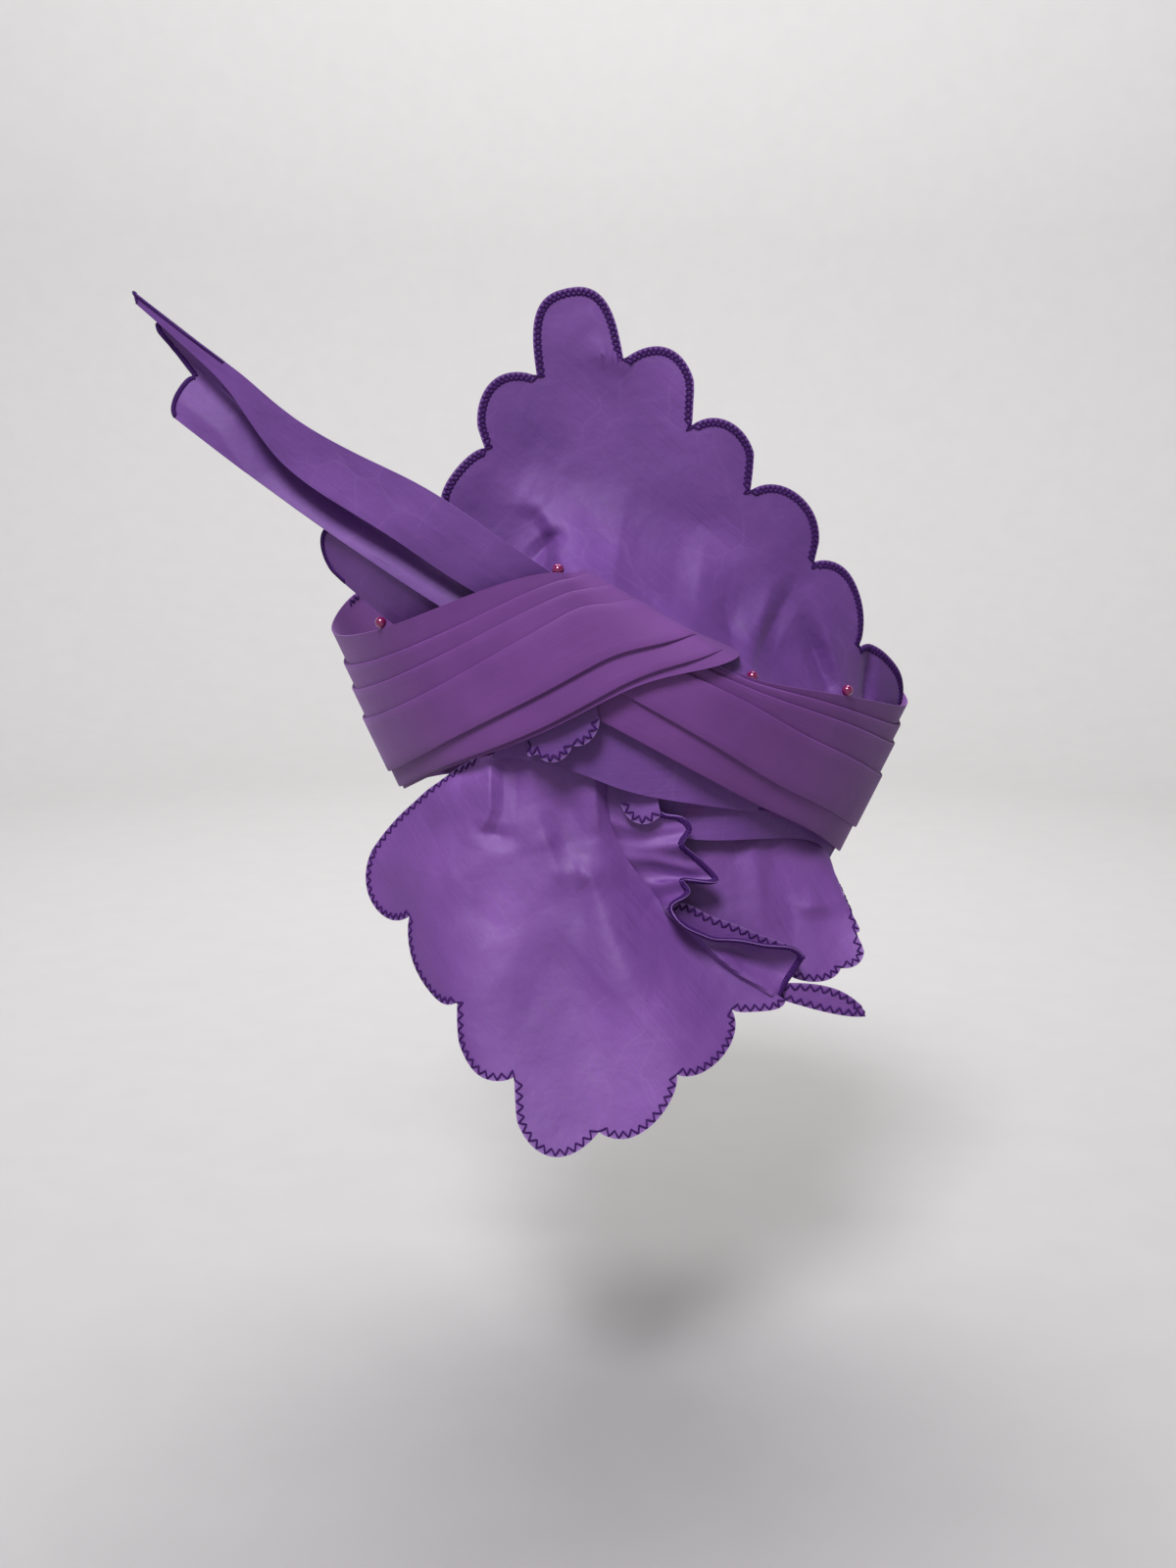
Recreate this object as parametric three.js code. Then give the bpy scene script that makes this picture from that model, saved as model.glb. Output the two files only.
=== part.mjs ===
import * as THREE from "three";

// Millimetres, +Z up. The origin is the middle of the head opening at the lower rim of the wrap.
// -Y is the side where the two pleated ends cross, and the wrap sits lower towards +X.

const { Vector3 } = THREE;

// Cloth
const WALL = 1.2; // one wall of folded cloth
const PLEAT_STEP = 0.9; // each pleat lies this much over the pleat beside it
const PLEAT_PUFF = 0.8; // the middle of a pleat stands out this much more
const PLEAT_EDGE = 0.7; // width of the step at a pleat edge
const SEAT = 0.5; // gap kept where one piece rests on another
const SCALLOP_ARC = 150; // degrees of the round edge of one scallop

// Round of the wrap on the side away from the cross
const RING = { lowX: 100, lowY: 95, highX: 134, highY: 112, height: 71 };
const RING_SLOPE = 0.13; // fall of the wrap for each millimetre towards +X
const JOIN_ANGLE = 27; // degrees from the X axis where the far half meets the two ends
const TURN_ANGLE = 12; // degrees of one more row between the join and the side
const TURN_RISE = 12; // the upper edge climbs towards the far side
const JOIN_RISE = 20;

// Far half: its scalloped top edge rises behind the crest
const BROW = { scallops: 6, lobe: 12, rise: 14, pleats: [0.16, 0.44, 0.6, 0.74] };

// Cloth over the crown, a low dome with a wider far half
const CROWN = { halfX: 98, nearY: 68, farY: 96.7, rim: 20, top: 98 };

// Pins: pearl head, straight shaft
const PIN = { head: 2.4, shaft: 0.4, length: 18, point: 2 };

// Pleated ends: a row for each section, lower and upper edge, then the pleat edges as shares of the
// width from the lower edge; crisp says how far the upper pleats stand out there
const LEFT_BAND = [
  { low: [-100, -8, 15], high: [-133, -8, 88], pleats: [0.03, 0.14, 0.47, 0.65, 0.8], crisp: 1 },
  { low: [-81, -50, 30], high: [-103, -60, 94], pleats: [0.03, 0.16, 0.5, 0.68, 0.82], crisp: 1 },
  { low: [-60, -78, 42], high: [-66, -87, 109], pleats: [0.03, 0.2, 0.55, 0.72, 0.84], crisp: 1 },
  { low: [-30, -99, 57], high: [-40, -99, 118], pleats: [0.04, 0.25, 0.63, 0.78, 0.89], crisp: 1 },
  { low: [1, -100, 73], high: [-26, -101, 120], pleats: [0.06, 0.29, 0.7, 0.83, 0.93], crisp: 0.9 },
  { low: [25, -99, 80], high: [-21, -99, 119], pleats: [0.09, 0.29, 0.68, 0.83, 0.95], crisp: 0.5 },
  { low: [41, -95, 82], high: [-17, -94, 117], pleats: [0.1, 0.28, 0.66, 0.82, 0.96], crisp: 0.1 },
];
const RIGHT_BAND = [
  { low: [-18, -93, 65], high: [5, -93, 102], pleats: [0.33, 0.78, 0.9, 0.96], crisp: 1 },
  { low: [6, -91, 52], high: [31, -93, 87], pleats: [0.33, 0.78, 0.9, 0.96], crisp: 1 },
  { low: [35, -83, 35], high: [54, -88, 76], pleats: [0.3, 0.78, 0.9, 0.96], crisp: 1 },
  { low: [61, -68, 19], high: [82, -74, 69], pleats: [0.22, 0.65, 0.84, 0.93], crisp: 1 },
  { low: [86, -45, 3], high: [112, -47, 61], pleats: [0.19, 0.57, 0.78, 0.88], crisp: 1 },
  { low: [103, -8, -14], high: [135, -8, 55], pleats: [0.18, 0.53, 0.74, 0.86], crisp: 1 },
];
const LEFT_LEVELS = [1, 2, 3, 2, 1, 0]; // how high each pleat lies, from the lower edge
const RIGHT_LEVELS = [2, 3, 2, 1, 0];

// Sheets: a row for each section from root to rim; lobe is the scallop up to the next row
const CREST = [
  { root: [-43, -77, 96], mid: [-60, -72, 122], rim: [-75, -66, 146], lobe: 5 },
  { root: [-33, -79, 100], mid: [-46, -66, 135], rim: [-57, -58, 170], lobe: 12 },
  { root: [-19, -81, 101], mid: [-28, -60, 150], rim: [-34, -48, 200], lobe: 34 },
  { root: [2, -83, 97], mid: [0, -58, 152], rim: [1, -44, 207], lobe: 14 },
  { root: [22, -83, 87], mid: [24, -60, 134], rim: [28, -46, 180], lobe: 14 },
  { root: [43, -80, 76], mid: [48, -60, 115], rim: [55, -46, 152], lobe: 13 },
  { root: [67, -69, 67], mid: [75, -54, 94], rim: [83, -42, 120], lobe: 12 },
  { root: [92, -53, 59], mid: [100, -44, 73], rim: [107, -34, 86], lobe: 11 },
  { root: [125.5, -16, 46], mid: [128.3, -14, 51], rim: [130.3, -12, 56], lobe: 0 },
];
const NAPE = [
  { root: [-64, -64, 40], mid: [-96, -50, 15], rim: [-111, -44, -6], lobe: 14 },
  { root: [-56, -69, 42], mid: [-78, -72, 5], rim: [-93, -68, -30], lobe: 12 },
  { root: [-47, -75, 44], mid: [-62, -88, -8], rim: [-69, -92, -59], lobe: 12 },
  { root: [-38, -80, 45], mid: [-44, -94, -22], rim: [-45, -106, -88], lobe: 19 },
  { root: [-27, -83, 45], mid: [-20, -97, -34], rim: [-10, -111, -111], lobe: 10 },
  { root: [-17, -84, 42], mid: [-7, -98, -28], rim: [22, -110, -87], lobe: 11 },
  { root: [-10, -84, 38], mid: [3, -97, -20], rim: [47, -105, -65], lobe: 5 },
  { root: [-5, -83, 33], mid: [8, -95, -10], rim: [70, -99, -62], lobe: 0 },
];
const UNDER_UPPER = [
  { root: [-47, -84, 52], rim: [-56, -76, 41] },
  { root: [-31, -89, 57], rim: [-37, -87, 42] },
  { root: [-10, -89, 59], rim: [-13, -88.5, 35] },
  { root: [18, -85, 47], rim: [10, -86.5, 27] },
  { root: [62, -65.5, 20], rim: [57, -67.3, 16] },
];
const UNDER_LOWER = [
  { root: [23, -78.5, 36], rim: [17, -80.5, 23] },
  { root: [44, -70.5, 23], rim: [32, -76.5, 6] },
  { root: [66, -58.5, 14], rim: [58, -63.5, 3] },
  { root: [92, -29.5, 2], rim: [87, -36.5, -4] },
];
const TUCKED = [
  { root: [-39, -90.5, 60], rim: [-39, -90.5, 51], lobe: 3 },
  { root: [-31, -95, 62], rim: [-35, -93, 46], lobe: 4 },
  { root: [-20, -96.6, 66], rim: [-21, -96.2, 50], lobe: 3 },
  { root: [-12, -96.9, 70], rim: [-10, -96.9, 61], lobe: 0 },
];
const TAIL_UPPER = [
  { root: [-7.2, -93, 84], rim: [4, -93, 103.5] },
  { root: [-62, -82.6, 112], rim: [-31, -95, 121] },
  { root: [-95, -76, 132], rim: [-72, -83, 148] },
  { root: [-123, -71, 147], rim: [-102, -77, 163] },
  { root: [-144, -67, 164], rim: [-132, -71, 179] },
  { root: [-159, -64, 187], rim: [-153, -66, 196] },
  { root: [-174, -59, 203], rim: [-172, -60, 209] },
  { root: [-202, -50, 228], rim: [-203, -50, 233] },
];
const TAIL_LOWER = [
  { root: [-22, -89, 74], mid: [-106, -67.5, 123.5], rim: [-188, -53.5, 182], lobe: 5 },
  { root: [-15, -89, 83], mid: [-107, -68.5, 134], rim: [-180, -53.5, 199], lobe: 7 },
  { root: [-9, -89.5, 92], mid: [-107, -69.5, 143], rim: [-191, -51.5, 220], lobe: 0 },
];
const TAIL_SHORT = [
  { root: [-97, -54, 95], mid: [-107, -53, 103], rim: [-119, -51, 113], lobe: 7 },
  { root: [-70, -72, 103], mid: [-97, -68, 121], rim: [-124, -60, 137], lobe: 0 },
];
const RUFFLE = [
  { root: [-4.5, -81.3, 31], rim: [11, -81, 28] },
  { root: [-5, -87.8, 12], rim: [27, -82, 6] },
  { root: [1, -91.3, -3], rim: [37, -83, -8] },
  { root: [11, -93.8, -14], rim: [23, -86, -19] },
  { root: [22, -95.3, -25], rim: [28, -88, -32] },
  { root: [42, -96.6, -43], rim: [54, -89, -41] },
  { root: [65, -97.3, -60], rim: [78, -86, -46] },
];
const LIP = [
  { root: [21, -85, -23], rim: [28, -81, -22] },
  { root: [41, -86.2, -36], rim: [43, -80, -32] },
  { root: [62, -85.2, -40], rim: [58, -78, -38] },
  { root: [80, -82, -48], rim: [71, -76, -43] },
];
const SIDE_PANEL = [
  { root: [28, -67, 8], rim: [24, -74, -40], lobe: 4 },
  { root: [47, -61.5, 6], rim: [48, -72, -51], lobe: 3 },
  { root: [67, -50.5, 5], rim: [72, -65, -54], lobe: 4 },
  { root: [80, -37.5, 1], rim: [97, -48, -54], lobe: 4 },
  { root: [88, -26.5, -2], rim: [105, -38, -41], lobe: 3 },
  { root: [94, -18, -6], rim: [100, -27, -25], lobe: 0 },
];
const TONGUE = [
  { root: [68, -96, -62], rim: [69.4, -93.6, -56.5] },
  { root: [81, -92, -67], rim: [81, -92, -56] },
  { root: [97, -86, -71], rim: [95, -86, -60] },
  { root: [106, -82, -72], rim: [104, -82, -67] },
];
const INNER_LOBE = [
  { root: [0, -84, 31], rim: [0, -87.5, 22], lobe: 3 },
  { root: [5, -84, 30], rim: [6, -88.5, 17], lobe: 3 },
  { root: [10, -83.8, 29], rim: [14, -86.5, 18], lobe: 0 },
];

// Soft folds: a ridge (or, with a minus, a valley) from one X, Z place to another
const CREST_FOLDS = [
  { from: [-34, 143], to: [-27, 126], height: 3.5, width: 5 },
  { from: [52, 80], to: [34, 138], height: 4, width: 13 },
  { from: [70, 78], to: [62, 130], height: -3, width: 10 },
  { from: [92, 68], to: [80, 106], height: 3, width: 8 },
  { from: [-20, 118], to: [-8, 190], height: -3, width: 14 },
];
const NAPE_FOLDS = [
  { from: [-54, 40], to: [-58, 12], height: 2.5, width: 5 },
  { from: [-33, 24], to: [-27, -6], height: -3, width: 7 },
  { from: [-20, 2], to: [-12, -8], height: 3, width: 5 },
  { from: [-70, -30], to: [-50, 0], height: 2, width: 10 },
];

// Pins: the band, the share of its length, and how far the head stands above and inside its edge
const PINS = [
  { name: "pin_centre", band: "left_band", along: 19 / 24, above: 2.3, inside: 2.9 },
  { name: "pin_left", band: "left_band", along: 0.375, above: 2.6, inside: 1.6 },
  { name: "pin_mid", band: "right_band", along: 2 / 7, above: 0, inside: 3.5 },
  { name: "pin_right", band: "right_band", along: 10.4 / 21, above: 2.6, inside: 1.8 },
];

const BAND_STEPS = 3; // for each row of a band
const BROW_STEPS = 4; // for each scallop
const LOBE_STEPS = 5; // for each scallop of a sheet
const PLAIN_STEPS = 3; // for each row of a sheet without scallops
const WIDE_STEPS = 8; // from root to rim of a large sheet
const NARROW_STEPS = 3;

const CLOTH = { color: 0x74509a, roughness: 0.55, metalness: 0 };
const PEARL = { color: 0x8a1060, roughness: 0.3, metalness: 0 };

const degrees = (angle) => (angle * Math.PI) / 180;

// A place on the far ring: share 0 at its lower rim, 1 at its upper rim
function ringPoint(angle, share) {
  const x = THREE.MathUtils.lerp(RING.lowX, RING.highX, share) * Math.cos(degrees(angle));
  const y = THREE.MathUtils.lerp(RING.lowY, RING.highY, share) * Math.sin(degrees(angle));
  return [x, y, RING.height * share - RING_SLOPE * x];
}

function ringRow(angle, rise, pleats) {
  const high = ringPoint(angle, 1);
  high[2] += rise;
  return { low: ringPoint(angle, 0), high, pleats, crisp: 1 };
}

// The smooth line through one named place of every row
function lineThrough(rows, name) {
  return new THREE.CatmullRomCurve3(rows.map((row) => new Vector3(...row[name])));
}

// A named value of the rows at a share of their length
function columnAt(rows, share, read) {
  const place = share * (rows.length - 1);
  const row = Math.min(Math.floor(place), rows.length - 2);
  return THREE.MathUtils.lerp(read(rows[row]), read(rows[row + 1]), place - row);
}

// Closed cloth wall round a grid of places; extra thickens its outer face
function clothWall(grid, extra = () => 0) {
  const across = grid[0].length;
  const count = grid.length * across;
  const outer = [];
  const inner = [];
  grid.forEach((line, i) => {
    line.forEach((place, j) => {
      const before = grid[Math.max(i - 1, 0)][j];
      const after = grid[Math.min(i + 1, grid.length - 1)][j];
      const below = line[Math.max(j - 1, 0)];
      const above = line[Math.min(j + 1, across - 1)];
      const along = new Vector3().subVectors(after, before);
      const normal = along.cross(new Vector3().subVectors(above, below)).normalize();
      outer.push(...place.clone().addScaledVector(normal, WALL / 2 + extra(i, j)).toArray());
      inner.push(...place.clone().addScaledVector(normal, -WALL / 2).toArray());
    });
  });
  const at = (i, j) => i * across + j;
  const index = [];
  const quad = (a, b, c, d) => index.push(a, b, c, a, c, d);
  for (let i = 0; i < grid.length - 1; i++) {
    for (let j = 0; j < across - 1; j++) {
      quad(at(i, j), at(i + 1, j), at(i + 1, j + 1), at(i, j + 1));
      quad(count + at(i, j), count + at(i, j + 1), count + at(i + 1, j + 1), count + at(i + 1, j));
    }
    const last = across - 1;
    quad(at(i, 0), count + at(i, 0), count + at(i + 1, 0), at(i + 1, 0));
    quad(at(i, last), at(i + 1, last), count + at(i + 1, last), count + at(i, last));
  }
  for (let j = 0; j < across - 1; j++) {
    const last = grid.length - 1;
    quad(at(0, j), at(0, j + 1), count + at(0, j + 1), count + at(0, j));
    quad(at(last, j), count + at(last, j), count + at(last, j + 1), at(last, j + 1));
  }
  const geometry = new THREE.BufferGeometry();
  geometry.setAttribute("position", new THREE.Float32BufferAttribute([...outer, ...inner], 3));
  geometry.setIndex(index);
  geometry.computeVertexNormals();
  return geometry;
}

// Stations along a sheet: even angles round each scallop, so that notches stay sharp
function stations(rows) {
  const list = [];
  const wide = degrees(SCALLOP_ARC / 2);
  rows.slice(0, -1).forEach((row, r) => {
    const next = rows[r + 1];
    const chord = new Vector3(...next.rim).sub(new Vector3(...row.rim)).normalize();
    const steps = row.lobe ? LOBE_STEPS : PLAIN_STEPS;
    for (let k = 0; k < steps; k++) {
      const turn = wide * ((2 * k) / steps - 1);
      const part = row.lobe ? 0.5 + Math.sin(turn) / Math.sin(wide) / 2 : k / steps;
      const round = (Math.cos(turn) - Math.cos(wide)) / (1 - Math.cos(wide));
      list.push({ share: (r + part) / (rows.length - 1), lobe: (row.lobe ?? 0) * round, chord });
    }
  });
  list.push({ share: 1, lobe: 0, chord: list[list.length - 1].chord });
  return list;
}

// How far the soft folds lift a place towards -Y
function foldLift(folds, place) {
  const flat = new Vector3(place.x, 0, place.z);
  return folds.reduce((lift, { from, to, height, width }) => {
    const crease = new THREE.Line3(new Vector3(from[0], 0, from[1]), new Vector3(to[0], 0, to[1]));
    const nearest = crease.closestPointToPoint(flat, true, new Vector3());
    return lift + height * Math.exp(-((nearest.distanceTo(flat) / width) ** 2));
  }, 0);
}

// Sheet from root to rim with a scalloped rim and soft folds
function sheet(rows, steps, folds = []) {
  const root = lineThrough(rows, "root");
  const rim = lineThrough(rows, "rim");
  const mid = rows[0].mid ? lineThrough(rows, "mid") : null;
  const grid = stations(rows).map(({ share, lobe, chord }) => {
    const low = root.getPoint(share);
    const high = rim.getPoint(share);
    const middle = mid ? mid.getPoint(share) : low.clone().lerp(high, 0.5);
    const outward = new Vector3().subVectors(high, low);
    outward.addScaledVector(chord, -outward.dot(chord)).normalize();
    return Array.from({ length: steps + 1 }, (_, j) => {
      const v = j / steps;
      const place = low.clone().multiplyScalar((1 - v) * (1 - 2 * v));
      place.addScaledVector(middle, 4 * v * (1 - v));
      place.addScaledVector(high, v * (2 * v - 1));
      place.addScaledVector(outward, lobe * v ** 3);
      place.y -= foldLift(folds, place);
      return place;
    });
  });
  return clothWall(grid);
}

// Pleated band: the pleats overlap like shingles towards the highest one. top adds a scalloped edge
function pleatedBand(rows, levels, steps, top = () => 0) {
  const low = lineThrough(rows, "low");
  const high = lineThrough(rows, "high");
  const grid = [];
  const thick = [];
  for (let i = 0; i <= steps; i++) {
    const share = i / steps;
    const foot = low.getPoint(share);
    const head = high.getPoint(share);
    const width = foot.distanceTo(head);
    head.lerp(foot, -top(share) / width);
    const edges = rows[0].pleats.map((_, p) => columnAt(rows, share, (row) => row.pleats[p]));
    const crisp = columnAt(rows, share, (row) => row.crisp);
    const middle = levels.indexOf(Math.max(...levels));
    const bounds = [0, ...edges, 1];
    const line = [];
    const lift = [];
    levels.forEach((level, p) => {
      const start = bounds[p] + (p === 0 ? 0 : PLEAT_EDGE / 2 / width);
      const end = bounds[p + 1] - (p === levels.length - 1 ? 0 : PLEAT_EDGE / 2 / width);
      const kept = p > middle ? levels[middle] - (levels[middle] - level) * crisp : level;
      for (const part of [0, 0.5, 1]) {
        line.push(foot.clone().lerp(head, THREE.MathUtils.lerp(start, end, part)));
        lift.push(PLEAT_STEP * kept + PLEAT_PUFF * (end - start) * 4 * part * (1 - part));
      }
    });
    grid.push(line);
    thick.push(lift);
  }
  const geometry = clothWall(grid, (i, j) => thick[i][j]);
  return { geometry, low, high };
}

// Dome over the crown, wider on the far side and tilted with the wrap
function crownDome() {
  const height = CROWN.top - CROWN.rim;
  const profile = [];
  const curve = 7;
  for (let k = 0; k <= curve; k++) {
    const turn = (Math.PI / 2) * (k / curve);
    profile.push(new THREE.Vector2(Math.sin(turn), Math.cos(turn)));
  }
  const inside = profile.map((spot) => spot.clone()).reverse();
  const ring = [...profile, ...inside];
  const geometry = new THREE.LatheGeometry(ring, 24);
  const places = geometry.getAttribute("position");
  for (let n = 0; n < places.count; n++) {
    const wall = n % ring.length < profile.length ? WALL / 2 : -WALL / 2;
    const far = places.getZ(n) > 0 ? CROWN.farY : CROWN.nearY;
    const x = places.getX(n) * (CROWN.halfX + wall);
    const y = places.getZ(n) * (far + wall);
    places.setXYZ(n, x, y, CROWN.rim + places.getY(n) * (height + wall) - RING_SLOPE * x);
  }
  return geometry;
}

// Pin with its head at the edge of a band and its shaft down the inner face of that band
function edgePin({ along, above, inside }, band) {
  const ball = PIN.head;
  const neck = -Math.sqrt(ball ** 2 - PIN.shaft ** 2);
  const profile = [
    new THREE.Vector2(0, -PIN.length),
    new THREE.Vector2(PIN.shaft, -PIN.length + PIN.point),
    new THREE.Vector2(PIN.shaft, neck),
  ];
  for (let turn = -60; turn < 90; turn += 30) {
    profile.push(new THREE.Vector2(ball * Math.cos(degrees(turn)), ball * Math.sin(degrees(turn))));
  }
  profile.push(new THREE.Vector2(0, ball));
  const geometry = new THREE.LatheGeometry(profile, 10);
  const edge = band.high.getPoint(along);
  const up = edge.clone().sub(band.low.getPoint(along)).normalize();
  const inward = up.clone().cross(band.high.getTangent(along)).normalize();
  const centre = edge.clone().addScaledVector(up, above).addScaledVector(inward, inside);
  geometry.applyQuaternion(new THREE.Quaternion().setFromUnitVectors(new Vector3(0, 1, 0), up));
  geometry.translate(centre.x, centre.y, centre.z);
  return geometry;
}

const part = new THREE.Group();
part.name = "gele_head_tie";

function addPiece(name, geometry, look = CLOTH) {
  const mesh = new THREE.Mesh(geometry, new THREE.MeshStandardMaterial(look));
  mesh.name = name;
  part.add(mesh);
}

// The two ends start at the far half, one gap away from it
const leftRows = [
  ringRow(180 - JOIN_ANGLE, JOIN_RISE, LEFT_BAND[0].pleats),
  ringRow(180 - TURN_ANGLE, TURN_RISE, LEFT_BAND[0].pleats),
  ...LEFT_BAND,
];
const rightRows = [
  ...RIGHT_BAND,
  ringRow(TURN_ANGLE, TURN_RISE, RIGHT_BAND[5].pleats),
  ringRow(JOIN_ANGLE, JOIN_RISE, RIGHT_BAND[5].pleats),
];
const bands = {
  left_band: pleatedBand(leftRows, LEFT_LEVELS, BAND_STEPS * (leftRows.length - 1)),
  right_band: pleatedBand(rightRows, RIGHT_LEVELS, BAND_STEPS * (rightRows.length - 1)),
};
addPiece("left_band", bands.left_band.geometry);
addPiece("right_band", bands.right_band.geometry);

const joinGap = THREE.MathUtils.radToDeg(SEAT / RING.lowX);
const browRows = [];
for (let k = 0; k <= BROW.scallops; k++) {
  const span = 180 - 2 * (JOIN_ANGLE + joinGap);
  const rise = JOIN_RISE + BROW.rise * Math.sin((Math.PI * k) / BROW.scallops);
  browRows.push(ringRow(JOIN_ANGLE + joinGap + (span * k) / BROW.scallops, rise, BROW.pleats));
}
const browEdge = (share) => BROW.lobe * Math.abs(Math.sin(Math.PI * BROW.scallops * share));
const brow = pleatedBand(browRows, RIGHT_LEVELS, BROW.scallops * BROW_STEPS, browEdge);
addPiece("brow_band", brow.geometry);

addPiece("crown_wrap", crownDome());
addPiece("crest_flap", sheet(CREST, WIDE_STEPS, CREST_FOLDS));
addPiece("nape_flap", sheet(NAPE, WIDE_STEPS, NAPE_FOLDS));
addPiece("under_fold_upper", sheet(UNDER_UPPER, NARROW_STEPS));
addPiece("under_fold_lower", sheet(UNDER_LOWER, NARROW_STEPS));
addPiece("tucked_lobe", sheet(TUCKED, NARROW_STEPS));
addPiece("tail_upper_leaf", sheet(TAIL_UPPER, NARROW_STEPS));
addPiece("tail_lower_leaf", sheet(TAIL_LOWER, WIDE_STEPS));
addPiece("tail_short_leaf", sheet(TAIL_SHORT, NARROW_STEPS));
addPiece("side_ruffle", sheet(RUFFLE, NARROW_STEPS));
addPiece("side_lip", sheet(LIP, NARROW_STEPS));
addPiece("side_panel", sheet(SIDE_PANEL, NARROW_STEPS));
addPiece("edge_tongue", sheet(TONGUE, NARROW_STEPS));
addPiece("inner_lobe", sheet(INNER_LOBE, NARROW_STEPS));
PINS.forEach((pin) => addPiece(pin.name, edgePin(pin, bands[pin.band]), PEARL));

export default part;
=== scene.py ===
"""Looks of a tied gele head tie: pleated wrap, crest, flaps, tail leaves, stitching and pins.

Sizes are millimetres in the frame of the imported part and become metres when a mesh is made.
"""

import logging
import math
from dataclasses import dataclass
from enum import Enum

import bpy
import numpy as np
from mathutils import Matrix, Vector, noise
from mathutils.bvhtree import BVHTree


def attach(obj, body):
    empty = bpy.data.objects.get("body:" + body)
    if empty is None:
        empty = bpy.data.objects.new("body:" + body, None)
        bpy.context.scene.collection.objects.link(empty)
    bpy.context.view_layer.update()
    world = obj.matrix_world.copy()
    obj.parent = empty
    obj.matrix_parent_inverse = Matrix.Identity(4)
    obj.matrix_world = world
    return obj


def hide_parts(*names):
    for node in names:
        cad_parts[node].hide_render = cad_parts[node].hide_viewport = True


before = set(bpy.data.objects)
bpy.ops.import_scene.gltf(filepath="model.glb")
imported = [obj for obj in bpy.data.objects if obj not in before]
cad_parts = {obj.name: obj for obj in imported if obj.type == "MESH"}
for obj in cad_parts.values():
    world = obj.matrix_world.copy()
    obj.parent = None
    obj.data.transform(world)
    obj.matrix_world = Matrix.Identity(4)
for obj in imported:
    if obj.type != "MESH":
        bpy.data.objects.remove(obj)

log = logging.getLogger("head_tie")

MM = 0.001
BODY = "root"
NOISE_SEED = 7  # without it the bends of the crumples would differ from run to run
CLOTH_THICK = 0.55  # one layer of the stiff cloth
GRID_STEP = 1.6  # room between the places of a sheet
BAND_STEP = 2.3  # room between the sections of the pleated wrap
FAR_FROM_EDGE = 50.0  # room to a stitched edge where there is none near
CRUMPLE_MEAN = 0.45  # mean of the crumples, taken off so that a sheet keeps its place
SWELL_SIZE = 45.0  # size of the soft swells of a sheet
FLUTTER_SIZE = 34.0  # size of the waves in and out along a rim
CREASE_ROUND = 0.006  # how far the crease of a fold is rounded
CREASE_DROP = 0.077  # brings the rounded crease back to the fold's full height
FOLD_STEEP = 1.4  # how much steeper a fold is at its crease than at its foot
NOTCH_PULL = 0.85  # how closely the lines of a sheet follow its scallops

Place = tuple[float, float, float]
Spot = tuple[float, float]


class Side(Enum):
    """An edge of a sheet's grid."""

    RIM = "rim"
    ROOT = "root"
    FIRST = "first"
    LAST = "last"


class Held(Enum):
    FOLDED = "folded"
    GATHERED = "gathered"
    HUNG = "hung"
    STRETCHED = "stretched"


class Stitch(Enum):
    """An edge seam: its pitch in millimetres and how many passes it has."""

    ZIGZAG = (4.3, 1)
    DOUBLE = (4.6, 2)
    DENSE = (1.8, 2)


@dataclass(frozen=True)
class Row:
    """One section of a sheet, from its hidden root to its free rim.

    Attributes:
        root: place on the hidden edge.
        rim: place on the free edge.
        mid: place halfway, where the section bends.
        lobe: height of the scallop up to the next row.
        square: how full the scallop is: 2 gives a half ellipse, more gives a finger, 0 a shallow arc.
    """

    root: Place
    rim: Place
    mid: Place | None = None
    lobe: float = 0.0
    square: float = 0.0


@dataclass(frozen=True)
class Fold:
    """A ridge or, with a minus, a valley that lifts a sheet towards -Y.

    Attributes:
        line: X and Z of the places that the crease goes through.
        height: lift at the middle of the crease.
        left: room to where the lift has faded, left of the crease's run.
        right: the same room on the right of its run.
        ends: shares of the lift at the start and at the end.
    """

    line: tuple[Spot, ...]
    height: float
    left: float
    right: float
    ends: Spot = (1.0, 0.2)


@dataclass(frozen=True)
class BandRow:
    """One section of the pleated wrap.

    Attributes:
        low: place on the lower edge.
        high: place on the upper edge.
        pleats: pleat edges as shares of the width from the lower edge.
        crisp: how far the upper pleats stand out.
        lobe: height of the scallop on the upper edge up to the next row.
    """

    low: Place
    high: Place
    pleats: tuple[float, ...]
    crisp: float = 1.0
    lobe: float = 0.0


def linear(colour: str, alpha: float = 1.0) -> tuple[float, float, float, float]:
    """Turns an sRGB hex colour into linear light.

    Args:
        colour: a colour such as "#6E4690".
        alpha: the fourth value.

    Returns:
        Red, green and blue in linear light, and alpha.
    """
    parts = [int(colour[k:k + 2], 16) / 255 for k in (1, 3, 5)]
    light = [c / 12.92 if c <= 0.04045 else ((c + 0.055) / 1.055) ** 2.4 for c in parts]
    return (*light, alpha)


def add_node(tree: bpy.types.NodeTree, kind: str, inputs: dict | None = None,
             **settings: object) -> bpy.types.Node:
    """Adds a shader node with its settings and links.

    Args:
        tree: the material's node tree.
        kind: the node's type name after "ShaderNode".
        inputs: value or output socket for each input, by name or number.
        settings: the node's own properties.

    Returns:
        The new node.
    """
    made = tree.nodes.new("ShaderNode" + kind)
    for name, value in settings.items():
        setattr(made, name, value)
    for name, value in (inputs or {}).items():
        if isinstance(value, bpy.types.NodeSocket):
            tree.links.new(value, made.inputs[name])
        else:
            made.inputs[name].default_value = value
    return made


def new_material(name: str) -> tuple[bpy.types.Material, bpy.types.NodeTree]:
    """Makes an empty node material.

    Args:
        name: the material's name.

    Returns:
        The material and its node tree.
    """
    material = bpy.data.materials.new(name)
    material.use_nodes = True
    material.node_tree.nodes.clear()
    return material, material.node_tree


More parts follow.
